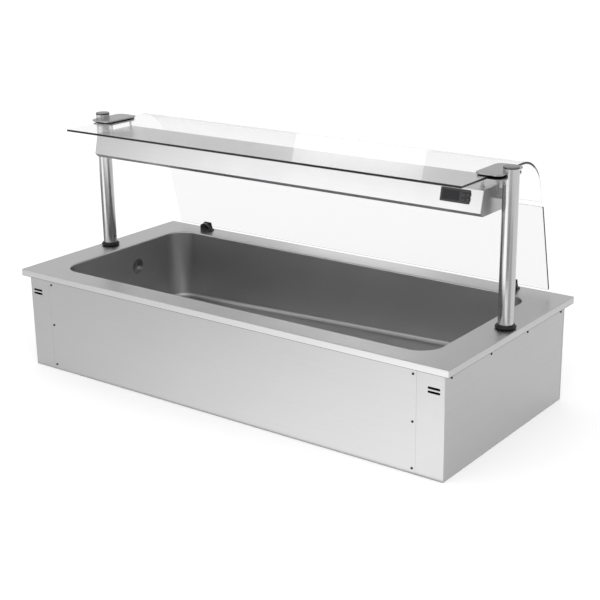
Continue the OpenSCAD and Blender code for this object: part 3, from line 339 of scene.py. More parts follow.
def drawn_metal(name, bright, dull, rough):
    """Copper, brass or a dark screw that has begun to tarnish."""
    s = Shade(name, metallic=1.0)
    patch = s.noise(s.place(), 26.0, 5.0, 0.65)
    fine = s.noise(s.place((600, 600, 600)), 1.0, 2.0)
    return s.look(s.map(patch, 0.35, 0.7, 0.0, 1.0), bright, dull,
                  s.map(patch, 0.3, 0.7, rough, rough + 0.16) + (fine - 0.5) * 0.08, fine, 0.00003, 0.4)


def clear_glass(name, rgb):
    """Clear toughened glass, with a breath of smear over it."""
    s = Shade(name, transmission_weight=1.0, ior=1.1)
    smear = s.noise(s.place((3.0, 9.0, 9.0)), 1.0)
    return s.look(smear, shaded(rgb, 0.995), rgb, s.map(smear, 0.45, 0.8, 0.0, 0.035))


def glass_edge(name, rgb, clear=0.0):
    """Ground edge of the glass, with the grinding's fine lines, painted dark as shade or pale as light.
    """
    s = Shade(name, ior=1.5, transmission_weight=clear, specular_ior_level=0.25)
    lines = s.noise(s.place((40, 1800, 1800)), 1.0)
    return s.look(s.noise(s.place(), 14.0, 2.0), shaded(rgb, 0.75), shaded(rgb, 1.35),
                  s.map(lines, 0.3, 0.7, 0.12, 0.3), lines, 0.00002, 0.3)


def opal_cover(name, rgb):
    """Opal sheet with a faint satin texture."""
    s = Shade(name, subsurface_weight=0.25, coat_weight=0.0)
    at = s.place()
    fine = s.noise(at, 1400.0, 2.0)
    return s.look(s.noise(at, 7.0, 2.0), shaded(rgb, 0.97), rgb, s.map(fine, 0.3, 0.7, 0.3, 0.42),
                  fine, 0.00002, 0.3)


MATS = {}


def build_materials():
    """Every material, from the settings of the panel."""
    if MATS:
        return
    sc = bpy.context.scene
    deck, case, can, lbox = sc.cold_well_deck, sc.cold_well_casing, sc.cold_well_canopy, sc.cold_well_box
    table = {
        "deck": (brushed, "deck_steel", deck.steel, deck.roughness, (7, 1500, 1500)),
        "tank": (brushed, "tank_steel", deck.tank_steel, deck.tank_roughness, (90, 90, 1300)),
        "panel": (brushed, "panel_steel", case.steel, case.roughness, (7, 900, 1500)),
        # Painted light: the end casings' sides and the gland shelf get a copy of the casing steel made
        # 14% brighter.
        "side": (brushed, "side_steel", shaded(case.steel, 1.14), case.roughness, (900, 7, 1500)),
        "box": (brushed, "box_steel", lbox.steel, lbox.roughness, (7, 1400, 1400)),
        # Painted shade: the box's end plates get a copy of the box steel made darker.
        "box_end": (brushed, "box_end_steel", shaded(lbox.steel, 0.74), 0.34, (900, 40, 1300)),
        "tube": (brushed, "tube_steel", can.tube_steel, can.tube_roughness, (60, 60, 1900), 0.00002,
                 0.03),
        "cap": (brushed, "cap_steel", can.cap_steel, 0.3, (300, 300, 1500), 0.00002, 0.04),
        "plate": (brushed, "plate_steel", can.plate_steel, 0.3, (60, 900, 1500), 0.00002, 0.04),
        # Painted shade: a dark steel for the shadow line under the deck's lip.
        "hem": (brushed, "hem_steel", (0.12, 0.12, 0.12), 0.5, (300, 300, 300), 0.00002, 0.05),
        "fitting": (brushed, "fitting_steel", (0.55, 0.55, 0.545), 0.28, (160, 160, 1100)),
        "screw": (brushed, "screw_steel", (0.5, 0.5, 0.5), 0.3, (700, 700, 700), 0.00002, 0.1),
        # Painted shade: the screws' hexagon recesses are near black.
        "recess": (moulded, "screw_recess", (0.008, 0.008, 0.008), 0.6),
        "dark_screw": (drawn_metal, "dark_screw", (0.05, 0.05, 0.055), (0.025, 0.025, 0.025), 0.4),
        "zinc": (galvanised, "zinc_sheet"),
        # Painted shade: the foam is near black so that the vents show dark.
        "foam": (shaded_foam_skin, "insulation_foam"),
        "copper": (drawn_metal, "drawn_copper", (0.78, 0.46, 0.33), (0.42, 0.21, 0.13), 0.26),
        "brass": (drawn_metal, "turned_brass", (0.74, 0.6, 0.33), (0.45, 0.33, 0.16), 0.24),
        "rubber": (moulded, "black_rubber", (0.012, 0.012, 0.012), 0.62, 1500.0, 0.00005, 0.12, 0.25),
        "ring": (moulded, "ring_plastic", (0.008, 0.008, 0.008), 0.45, 2600.0, 0.00003, 0.12, 0.3),
        "black": (moulded, "black_plastic", can.black, 0.38),
        "gloss": (moulded, "black_gloss", can.black, 0.2, 900.0, 0.00001, 0.08),
        "gray": (moulded, "gray_plastic", (0.42, 0.43, 0.44), 0.42),
        "glass": (clear_glass, "clear_glass", can.glass),
        # Painted light: the upper pane gets a paler copy of the glass tint than the lower pane.
        "glass_top": (clear_glass, "upper_clear_glass", shaded(can.glass, 1.07)),
        # Painted shade and painted light: a near-black and a pale copy of one ground glass edge.
        "glass_edge": (glass_edge, "glass_edge", can.glass_edge),
        "pane_edge": (glass_edge, "pane_edge", can.pane_edge, 0.85),
        "opal": (opal_cover, "opal_cover", lbox.opal),
        "white": (moulded, "white_board", (0.82, 0.82, 0.8), 0.45, 1800.0),
        "window": (moulded, "smoked_window", lbox.window, 0.12, 400.0, 0.000004, 0.04, 0.2),
        "key": (moulded, "key_plastic", lbox.keys, 0.45, 2200.0),
        "mark": (moulded, "key_mark", (0.14, 0.14, 0.14), 0.5, 2200.0),
    }
    for key, (maker, *values) in table.items():
        MATS[key] = maker(*values)


# ---------------- mesh helpers
def outline(l, d, r, cx=0.0, cy=0.0, seg=12):
    """Rounded rectangle, counter-clockwise from its right-hand side."""
    r = max(r, 0.01)
    pts = []
    for k, (sx, sy) in enumerate(((1, 1), (-1, 1), (-1, -1), (1, -1))):
        for i in range(seg + 1):
            a = math.radians(90 * k + 90 * i / seg)
            pts.append((cx + sx * (l / 2 - r) + r * math.cos(a), cy + sy * (d / 2 - r) + r * math.sin(a)))
    return pts


def circle(r, cx=0.0, cy=0.0, seg=64):
    turns = [2 * math.pi * k / seg for k in range(seg)]
    return [(cx + r * math.cos(a), cy + r * math.sin(a)) for a in turns]


def mouth_outline(inset):
    """The well's mouth in plan, moved in by inset."""
    return outline(WELL_L - 2 * inset, WELL_D - 2 * inset, WELL_R - inset, 0, WELL_Y, MOUTH_SEG)


def moved_in(pts, e):
    """Closed outline moved inwards by e; the outline runs counter-clockwise."""
    out = []
    for i, p in enumerate(pts):
        a, b, c = Vector(pts[i - 1]), Vector(p), Vector(pts[(i + 1) % len(pts)])
        u, v = (b - a), (c - b)
        u = u.normalized() if u.length > 1e-6 else v.normalized()
        v = v.normalized() if v.length > 1e-6 else u
        m, n = Vector((-u.y, u.x)), Vector((-v.y, v.x))
        out.append(tuple(b + e * (m + n) / max(0.3, 1 + m.dot(n))))
    return out


def quarter(r, steps=4):
    """Quarter turn of radius r: pairs that go from (r, 0) to (0, r), measured from the corner."""
    turns = [math.pi / 2 * k / steps for k in range(steps + 1)]
    return [(r * (1 - math.sin(a)), r * (1 - math.cos(a))) for a in turns]


def flat_place(x, y, z):
    return (x, y, z)


def add_ring(bm, pts):
    return [bm.verts.new(Vector(p) * MM) for p in pts]


def stepped(bm, pts, levels, place):
    """A ring of pts for each (inset, height) in levels."""
    return [add_ring(bm, [place(x, y, z) for x, y in moved_in(pts, inset)]) for inset, z in levels]


def loft(bm, rings, closed=False, loop=True):
    """Faces between rings of equal length, or of one vertex. closed joins the last ring to the first."""
    faces = []
    for a, b in list(zip(rings, rings[1:])) + ([(rings[-1], rings[0])] if closed else []):
        n = max(len(a), len(b))
        for i in range(n if loop and n > 1 else n - 1):
            j = (i + 1) % n
            corners = (a[i % len(a)], a[j % len(a)], b[j % len(b)], b[i % len(b)])
            faces.append(bm.faces.new(list(dict.fromkeys(corners))))
    return faces


def fill(bm, loops):
    """Flat face between loops of vertices; those after the first are its holes."""
    edges = []
    for ring in loops:
        for pair in zip(ring, ring[1:] + ring[:1]):
            edges.append(bm.edges.get(pair) or bm.edges.new(pair))
    bmesh.ops.triangle_fill(bm, use_beauty=True, use_dissolve=False, edges=edges)


def capped(bm, rings):
    """Closed solid through rings. Returns its faces."""
    return loft(bm, rings) + [bm.faces.new(rings[0][::-1]), bm.faces.new(rings[-1])]


def slab(bm, pts, low, high, e, place=flat_place, steps=4):
    """Plate of outline pts from height low to high, its edges rounded by e. Returns its faces."""
    edge = quarter(e, steps)
    levels = [(inset, low + drop) for inset, drop in edge]
    levels += [(inset, high - drop) for inset, drop in reversed(edge)]
    return capped(bm, stepped(bm, pts, levels, place))


def rounded_profile(corners, radii, steps=4):
    """Closed (r, z) or (y, z) outline with each corner rounded by its radius."""
    out = []
    n = len(corners)
    for i in range(n):
        b, r = Vector(corners[i]), radii[i]
        if r <= 0:
            out.append(tuple(b))
            continue
        u = (Vector(corners[i - 1]) - b).normalized()
        v = (Vector(corners[(i + 1) % n]) - b).normalized()
        half = u.angle(v) / 2
        reach = r / math.tan(half)
        mid = b + (u + v).normalized() * (r / math.sin(half))
        start, end = b + u * reach - mid, b + v * reach - mid
        turn = math.atan2(start.x * end.y - start.y * end.x, start.dot(end))
        for k in range(steps + 1):
            a = turn * k / steps
            out.append((mid.x + start.x * math.cos(a) - start.y * math.sin(a),
                        mid.y + start.x * math.sin(a) + start.y * math.cos(a)))
    return out


def face_towards(bm, rank, way):
    """Turns an open sheet so that the face that comes first by rank looks along way."""
    bmesh.ops.recalc_face_normals(bm, faces=bm.faces)
    if min(bm.faces, key=rank).normal.dot(Vector(way)) < 0:
        bmesh.ops.reverse_faces(bm, faces=bm.faces)


def largest(face):
    return -face.calc_area()


def add_object(name, bm, mats):
    """Object of the mesh built in bm, with its materials."""
    mesh = bpy.data.meshes.new(name)
    bm.to_mesh(mesh)
    bm.free()
    for mat in mats:
        mesh.materials.append(mat)
    obj = bpy.data.objects.new(name, mesh)
    bpy.context.scene.collection.objects.link(obj)
    return obj


def piece(name, bm, mats, replaces=(), body=ROOT, angle=32.0, sheet=0.0):
    """Finishes a mesh as one piece of the object: shading, materials and body.
    An open mesh whose normals are set already gets the thickness sheet, away from them."""
    if not sheet:
        bmesh.ops.recalc_face_normals(bm, faces=bm.faces)
    obj = add_object(name, bm, [MATS[m] for m in mats])
    obj.data.shade_smooth()
    obj.data.set_sharp_from_angle(angle=math.radians(angle))
    if sheet:
        solid = obj.modifiers.new("sheet", "SOLIDIFY")
        solid.thickness = sheet * MM
        solid.offset = -1.0
        solid.use_even_offset = True
    even = obj.modifiers.new("even_normals", "WEIGHTED_NORMAL")
    even.keep_sharp = True
    even.weight = 60
    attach(obj, body)
    if replaces:
        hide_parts(*replaces)
    return obj


def dress(node, mat, bevel):
    """A solid of the frame keeps its shape and gets its material, with its edges eased."""
    obj = NODES[node]
    obj.data.materials.clear()
    obj.data.materials.append(MATS[mat])
    if bevel:
        soft = obj.modifiers.new("eased_edges", "BEVEL")
        soft.width = bevel * MM
        soft.segments = 2
        soft.limit_method = "ANGLE"
        soft.angle_limit = math.radians(35)
        soft.harden_normals = True


# ---------------- pieces
class COLDWELL_OT_stage(bpy.types.Operator):
    """Camera, floor and soft light"""
    bl_idname = "coldwell.stage"
    bl_label = "Camera, floor and light"

    def execute(self, context):
        look = context.scene.cold_well_stage
        self.camera(context)
        self.floor(look)
        world = bpy.data.worlds.new("studio")
        context.scene.world = world
        world.use_nodes = True
        back = world.node_tree.nodes["Background"]
        back.inputs["Color"].default_value = (1.0, 1.0, 1.0, 1.0)
        back.inputs["Strength"].default_value = look.sky
        for name, at, to, size, shape in LAMPS:
            self.lamp(context, name, at, to, size, getattr(look, name), shape)
        self.cards(look)
        context.scene.view_settings.view_transform = "Standard"
        context.scene.view_settings.look = "None"
        return {"FINISHED"}

    def camera(self, context):
        """Camera at the photograph's place, with its roll."""
        az, el, roll = (math.radians(a) for a in (CAMERA_TURN, CAMERA_DROP, CAMERA_ROLL))
        away = Vector((-math.sin(az) * math.cos(el), math.cos(az) * math.cos(el), -math.sin(el)))
        right = away.cross(Vector((0, 0, 1))).normalized()
        up = right.cross(away)
        r2 = right * math.cos(roll) + up * math.sin(roll)
        u2 = -right * math.sin(roll) + up * math.cos(roll)
        cam = bpy.data.cameras.new("photo_camera")
        cam.lens = CAMERA_LENS
        cam.sensor_width = CAMERA_SENSOR
        cam.clip_end = 100.0
        eye = bpy.data.objects.new("photo_camera", cam)
        m = Matrix((r2, u2, -away)).transposed().to_4x4()
        m.translation = Vector(CAMERA_AT)
        eye.matrix_world = m
        context.scene.collection.objects.link(eye)
        context.scene.camera = eye

    def floor(self, look):
        s = Shade("studio_floor", specular_ior_level=0.1, emission_strength=look.glow,
                  emission_color=look.floor)
        mat = s.look(s.noise(s.place(), 0.6, 2.0), shaded(look.floor, 0.985), look.floor, 0.8)
        line = [FLOOR_REACH * (2 * i / FLOOR_CELLS - 1) for i in range(FLOOR_CELLS + 1)]
        self.sheet("studio_floor", [[(x, y, FLOOR_Z) for x in line] for y in line], mat)

    def lamp(self, context, name, at, to, size, power, shape):
        light = bpy.data.lights.new(name, "AREA")
        light.shape = shape
        light.size, light.size_y = size
        light.energy = power
        obj = bpy.data.objects.new(name, light)
        obj.matrix_world = Matrix.Translation(Vector(at)) @ (
            (Vector(to) - Vector(at)).to_track_quat("-Z", "Y").to_matrix().to_4x4())
        obj.visible_camera = False
        context.scene.collection.objects.link(obj)

    def cards(self, look):
        """Cards that the steel reflects: one on the floor, the rest fanned out from the posts."""
        self.card("floor_card", [[(x, y, CARD_Z) for x in CARD_X] for y in CARD_Y],
                  [[q * t for q in CARD_FADE_X] for t in CARD_FADE_Y], look.white_card)
        x, behind = POST_X * MM, [-v for v in SIDE_LINES]
        for name, at, angles, lines, axis, tone in (
                ("left_white_card", -x, (-128, -122, -99, -93), FRONT_LINES, 1, look.white_card),
                ("left_grey_card", -x, (-93, -87, -34, -26), FRONT_LINES, 1, look.shade),
                ("rear_grey_card", -x, (122, 127, 227, 232), behind, 0, look.shade),
                ("right_white_card", x, (-132, -127, -91, -86), FRONT_LINES, 1, look.white_card),
                ("right_grey_card", x, (-86, -81, -50, -44), FRONT_LINES, 1, look.shade),
                ("side_grey_card", x, (-50, -40, -8, -2), SIDE_LINES, 0, look.shade * SIDE_SHADE)):
            self.fan(name, at, angles, lines, axis, tone)

    def fan(self, name, x, angles, lines, axis, tone):
        """Card beside the deck, cut by rays from the post at these angles and by lines across them."""
        at = (x, POST_Y * MM)
        z = WHITE_FAN_Z if tone > 1.0 else GREY_FAN_Z
        rows = []
        for line in lines:
            ways = [(math.cos(math.radians(a)), math.sin(math.radians(a))) for a in angles]
            reach = [(line - at[axis]) / way[axis] for way in ways]
            rows.append([(at[0] + far * u, at[1] + far * v, z) for far, (u, v) in zip(reach, ways)])
        self.card(name, rows, [[0.0, t, t, 0.0] for t in (1.0, 1.0, 1.0, 0.0)], tone)

    def card(self, name, rows, soft, tone):
        """Studio card with soft edges, that only gloss sees."""
        s = Shade(name)
        glow = s.node("ShaderNodeEmission", {}, {"Color": (1.0, 1.0, 1.0), "Strength": tone})
        clear = s.node("ShaderNodeBsdfTransparent", {}, {"Color": (1.0, 1.0, 1.0)})
        edge = s.node("ShaderNodeAttribute", {"attribute_name": "soft"}, {}, "Fac")
        both = s.node("ShaderNodeMixShader", {}, {0: edge, 1: clear, 2: glow})
        s.put(s.end.inputs["Surface"], both)
        s.tree.nodes.remove(s.bsdf)
        obj = self.sheet(name, rows, s.mat)
        share_in = obj.data.attributes.new("soft", "FLOAT", "POINT")
        share_in.data.foreach_set("value", [v for row in soft for v in row])
        obj.visible_camera = obj.visible_diffuse = obj.visible_transmission = obj.visible_shadow = False

    def sheet(self, name, rows, mat):
        """Part of the stage through rows of points in metres."""
        bm = bmesh.new()
        loft(bm, [[bm.verts.new(p) for p in row] for row in rows], loop=False)
        obj = add_object(name, bm, [mat])
        return obj


class Step:
    """What the operators of the pieces share: the materials come first."""

    def execute(self, context):
        build_materials()
        self.build(context)
        return {"FINISHED"}


class COLDWELL_OT_deck(Step, bpy.types.Operator):
    """Deck of one sheet: rim turned into the well, rounded edge, lip and return"""
    bl_idname = "coldwell.deck"
    bl_label = "Deck"

    def build(self, context):
        look = context.scene.cold_well_deck
        rim, edge, corner = look.rim_radius / MM, look.edge_radius / MM, look.corner_radius / MM
        bm = bmesh.new()

        def mouth(o, z):
            return add_ring(bm, [(x, y, DECK_Z + z) for x, y in mouth_outline(-o)])

        def outer(i, z):
            pts = outline(DECK_L - 2 * i, DECK_D - 2 * i, corner - i, 0, 0, MOUTH_SEG)
            return add_ring(bm, [(x, y, DECK_Z + z) for x, y in pts])

        wall = SHEET_T
        rings = [mouth(0, -2 * rim), mouth(0, -rim - 0.2)]
        rings += [mouth(out, -down) for down, out in quarter(rim, 8)]
        rings += [mouth(rim + 1.0, 0), outer(edge + 1.0, 0)]
        rings += [outer(inset, -drop) for inset, drop in quarter(edge, 6)]
        foot = len(rings) + 1
        rings += [outer(0, -edge - 0.5), outer(0, -LIP_H + 1.5), outer(0.3, -LIP_H + 0.3),
                  outer(1.0, -LIP_H), outer(RETURN_W, -LIP_H), outer(RETURN_W, -LIP_H + DECK_T),
                  outer(DECK_T, -LIP_H + DECK_T), outer(DECK_T, -DECK_T), mouth(rim + 2.0, -DECK_T)]
        rings += [mouth(wall + out, -wall - down) for down, out in reversed(quarter(rim - wall, 4))]
        rings.append(mouth(wall, -2 * rim))
        # Faces at the foot of the lip get the dark steel, a painted shadow line under the lip.
        for k, f in enumerate(loft(bm, rings, closed=True)):
            if foot <= k // len(rings[0]) < foot + 3:
                f.material_index = 1
        piece("deck", bm, ["deck", "hem"], ["deck_top"])


class COLDWELL_OT_tank(Step, bpy.types.Operator):
    """Well: upright walls, rounded foot, falling floor, dished drain and overflow hole"""
    bl_idname = "coldwell.tank"
    bl_label = "Well"

    def build(self, context):
        bm = bmesh.new()
        top = DECK_Z - 2 * context.scene.cold_well_deck.rim_radius / MM

        def on_floor(pts, rise):
            return add_ring(bm, [(x, y, floor_z(x) + rise) for x, y in pts])

        def dish(r, low, rise):
            return add_ring(bm, [(x, y, low(x) + rise) for x, y in circle(r, DRAIN_X, WELL_Y)])

        rings = [add_ring(bm, [(x, y, top) for x, y in mouth_outline(0)])]
        rings.append(on_floor(mouth_outline(0), FLOOR_R + 2.0))
        rings += [on_floor(mouth_outline(inset), rise) for rise, inset in quarter(FLOOR_R, 8)]
        left_wall = loft(bm, rings)[2 * (MOUTH_SEG + 1) - 1]
        corners = list(left_wall.verts)
        bmesh.ops.delete(bm, geom=[left_wall], context="FACES_ONLY")
        fill(bm, [corners, add_ring(bm, [(-WELL_L / 2, OVERFLOW_Y + y, OVERFLOW_Z + z)
                                         for y, z in circle(OVERFLOW_R, seg=48)])])
        brim = [dish(DISH_R - r, floor_z, z) for r, z in ((0, 0.0), (0.8, -0.3), (1.4, -1.2))]
        fill(bm, [rings[-1], brim[0]])
        loft(bm, brim + [dish(r, lambda x: DISH_Z, z) for r, z in (
            (DISH_R - 1.6, 1.4), (DISH_R - 2.2, 0.5), (DISH_R - 3.2, 0.0), (TAIL_R + 0.1, 0.0))])

        def mid_floor(face):
            at = face.calc_center_median()
            return abs(at.x) + abs(at.y) + (0 if abs(face.normal.z) > 0.9 else 10)

        face_towards(bm, mid_floor, (0, 0, 1))
        piece("tank", bm, ["tank"], ["well_tank"], sheet=TANK_T)


def stadium(cx, cz, l, h, seg=10):
    """Slot outline in the plane of a panel."""
    pts = []
    for s in (1, -1):
        for k in range(seg + 1):
            a = math.pi * k / seg - math.pi / 2
            pts.append((cx + s * (l / 2 - h / 2) + s * h / 2 * math.cos(a), cz + s * h / 2 * math.sin(a)))
    return pts


def corner_line(s, bend):
    """Points in plan round the casing's front corner on side s, from the front face to the side."""
    return [(s * (BODY_X - inset), drop - BODY_Y) for inset, drop in quarter(bend, 6)]


class COLDWELL_OT_casing(Step, bpy.types.Operator):
    """Front panel, bent end casings with their vents, rear panel and screws"""
    bl_idname = "coldwell.casing"
    bl_label = "Casing"

    def build(self, context):
        bend = context.scene.cold_well_casing.bend_radius / MM
        bm = bmesh.new()
        width, height = PANEL_HI.x - PANEL_LO.x, PANEL_HI.z - PANEL_LO.z
        slab(bm, outline(width, height, 0.8, 0, height / 2, 3), 0, SHEET_T, 0.5,
             lambda x, z, t: (x, SHEET_T - BODY_Y - t, z), 3)
        for s, side in SIDES:
            self.rib(bm, s)
        piece("front_panel_sheet", bm, ["panel"], ["front_panel"])
        for s, side in SIDES:
            self.end(s, side, bend)
        self.shelf()
        self.rear(bend)
        self.screws()

    def rib(self, bm, s):
        """Hat-shaped stiffener spot-welded behind the front panel."""
        cx, half, t = s * (PANEL_HI.x - RIB_IN), RIB_W / 2, SHEET_T
        corners = [(-half, 0), (t - half, 0), (t - half, RIB_D - t), (half - t, RIB_D - t), (half - t, 0),
                   (half, 0), (half, RIB_D), (-half, RIB_D)]
        pts = rounded_profile([(cx + x, y) for x, y in corners], [0, 0, 0.8, 0.8, 0, 0, 1.6, 1.6], 3)
        capped(bm, [add_ring(bm, [(x, t - BODY_Y + y, z) for x, y in pts]) for z in (RIB_LOW, RIB_HIGH)])

    def upright(self, bm, line):
        """Upright edges of the casing at the points of line."""
        return [add_ring(bm, [(x, y, 0), (x, y, CASE_TOP)]) for x, y in line]

    def end(self, s, side, bend):
        bm = bmesh.new()
        inner, near = s * (PANEL_HI.x + PANEL_GAP), s * (BODY_X - bend)
        face = add_ring(bm, [(inner, -BODY_Y, 0), (near, -BODY_Y, 0), (near, -BODY_Y, CASE_TOP),
                             (inner, -BODY_Y, CASE_TOP)])
        slots = [stadium(s * SLOT_X, cz, SLOT_L, SLOT_H) for cz in SLOT_Z]
        fill(bm, [face] + [add_ring(bm, [(x, -BODY_Y, z) for x, z in slot]) for slot in slots])
        line = corner_line(s, bend)[1:] + [(s * BODY_X, BODY_Y - REAR_WRAP - PANEL_GAP)]
        loft(bm, [face[1:3]] + self.upright(bm, line), loop=False)
        face_towards(bm, largest, (s, 0, 0))
        # Faces that look along x get the brighter copy of the casing steel: painted light on the end
        # casings' sides.
        for f in bm.faces:
            f.material_index = 1 if abs(f.normal.x) > 0.5 else 0
        piece(side + "_end_sheet", bm, ["panel", "side"], [side + "_end_casing"],
              sheet=SHEET_T)

    def shelf(self):
        """Shelf in the right end that carries the cable gland."""
        bm = bmesh.new()
        cx, cy = (GLAND_LO.x + GLAND_HI.x) / 2, (GLAND_LO.y + GLAND_HI.y) / 2
        wall = BODY_X - SHEET_T
        l = wall - (cx - SHELF_IN)
        slab(bm, outline(l, SHELF_W, 2, wall - l / 2, cy, 4), SHELF_LOW, SHELF_TOP, 0.4, steps=2)
        # The shelf also carries the brighter, painted-light copy of the casing steel.
        piece("gland_shelf", bm, ["side"])

    def rear(self, bend):
        bm = bmesh.new()
        line = [(BODY_X, BODY_Y - REAR_WRAP)] + [(x, -y) for x, y in reversed(corner_line(1, bend))]
        line += [(-x, y) for x, y in reversed(line)]
        loft(bm, self.upright(bm, line), loop=False)
        face_towards(bm, largest, (0, 1, 0))
        piece("rear_sheet", bm, ["panel"], ["rear_panel"], sheet=SHEET_T)

    def screws(self):
        """Pan-head screws with a hexagon recess painted near black as shade, each along its own way in.
        """
        bm = bmesh.new()
        seg, low, high = 24, SCREW_Z[0], SCREW_Z[-1]
        left, right = PANEL_LO.x + SCREW_IN, PANEL_HI.x - SCREW_IN
        centres = [((x, -BODY_Y, z), (0, -1)) for x in (left, right) for z in SCREW_Z]
        centres += [((x, BODY_Y, z), (0, 1)) for x in (left, 0.0, right) for z in (low, high)]
        centres += [((s * BODY_X, y, high), (s, 0)) for s in (-1, 1) for y in SCREW_Y]
        for (x, y, z), (nx, ny) in centres:
            rings = []
            for k, (r, h) in enumerate(SCREW_HEAD):
                ring = []
                for i in range(seg if r else 1):
                    a = 2 * math.pi * i / seg
                    q = r * (0.93 + 0.07 * math.cos(6 * a)) if k in (1, 2) else r
                    side, up = q * math.cos(a), q * math.sin(a)
                    ring.append((x + nx * h - ny * side, y + ny * h + nx * side, z + up))
                rings.append(add_ring(bm, ring))
            # The recess walls get the near-black material: painted shade.
            for f in loft(bm, rings[:3]):
                f.material_index = 1
            loft(bm, rings[2:])
            bm.faces.new(rings[-1])
        piece("casing_screw_heads", bm, ["dark_screw", "recess"], ["casing_screws"])


class COLDWELL_OT_posts(Step, bpy.types.Operator):
    """Post tubes, their black base rings, cap seals and caps"""
    bl_idname = "coldwell.posts"
    bl_label = "Posts"

    def build(self, context):
        r, low, top = POST_R, TUBE_LO.z, TUBE_HI.z
        tube = [(r - TUBE_T, low), (r - 0.3, low), (r, low + 0.3), (r, top - 0.5), (r - 0.15, top - 0.15),
                (r - 0.5, top), (r - TUBE_T, top)]
        for s, side in SIDES:
            self.turned(side + "_tube", "tube", "tube_steel", side + "_post_tube", tube, (s,))
        ring = rounded_profile([(r + 0.1, 0), (r + RING_W / 2, 0), (r + RING_W, 4.8), (r + 2, RING_H),
                                (r + 0.1, RING_H)], [0, 0.5, 1.6, 0.9, 0.4])
        self.turned("post_base_rings", "ring", "black_plastic", "base_rings",
                    [(q, DECK_Z + z) for q, z in ring])
        seal, low, top = SEAL_HI.x - POST_X, SEAL_LO.z, SEAL_HI.z
        self.turned("cap_seals", "rubber", "black_rubber", "post_cap_seals",
                    [(r - SEAL_IN, low), (seal - 0.3, low), (seal, low + 0.5), (seal, top - 0.5),
                     (seal - 0.3, top), (r - SEAL_IN, top)], seg=96)
        cap = rounded_profile([(0.0, CAP_HI.z), (r, CAP_HI.z), (r, top), (r - CAP_WALL, top),
                               (r - CAP_WALL, CAP_LO.z), (0.0, CAP_LO.z)], [0, 1.0, 0.3, 0, 0.8, 0])
        self.turned("caps", "cap", "tube_steel", "post_caps", cap, closed=False)

    def turned(self, name, mat, slot, node, profile, sides=(-1, 1), seg=128, closed=True):
        """One piece of (radius, z) pairs turned about each post. A point on the axis is one vertex."""
        bm = bmesh.new()
        for s in sides:
            axis = (s * POST_X, POST_Y)
            loft(bm, [add_ring(bm, [(x, y, z) for x, y in (circle(r, *axis, seg) if r else [axis])])
                      for r, z in profile], closed)
        piece(name, bm, [mat], [node])


def plate_outline(s, e):
    """Clamp plate round the post, on side s, moved in by e."""
    x0, x1, y0, y1 = PLATE_LO.x + e, POST_X - e, PLATE_LO.y + e, PLATE_HI.y - e
    hole = POST_R + 0.1
    pts = outline(x1 - x0, y1 - y0, PLATE_R, (x0 + x1) / 2, (y0 + y1) / 2, 8)
    steps, half = 24, math.acos(e / hole)
    for k in range(steps + 1):
        a = math.pi + half * (1 - 2 * k / steps)
        pts.append((min(POST_X + hole * math.cos(a), x1), POST_Y + hole * math.sin(a)))
    return pts if s > 0 else [(-x, y) for x, y in reversed(pts)]


class COLDWELL_OT_clamps(Step, bpy.types.Operator):
    """Steel plates and rubber sheets that clamp the upper glass to the posts"""
    bl_idname = "coldwell.clamps"
    bl_label = "Canopy clamps"

    def build(self, context):
        for s, side in SIDES:
            for level, inset, low, top in (("upper", 0, PLATE_LO.z, PLATE_HI.z),
                                           ("lower", LOWER_IN, LOWER_LO.z, LOWER_HI.z)):
                bm = bmesh.new()
                slab(bm, plate_outline(s, inset), low, top, 0.7)
                piece(f"{side}_{level}_plate", bm, ["plate"],
                      [f"{side}_{level}_clamp_plate"])
        bm = bmesh.new()
        for s, side in SIDES:
            for low in (LOWER_HI.z, GLASS_HI.z):
                slab(bm, plate_outline(s, GASKET_IN), low, low + GASKET_T, 0.25, steps=2)
        piece("gasket_sheets", bm, ["rubber"], ["glass_gaskets"])


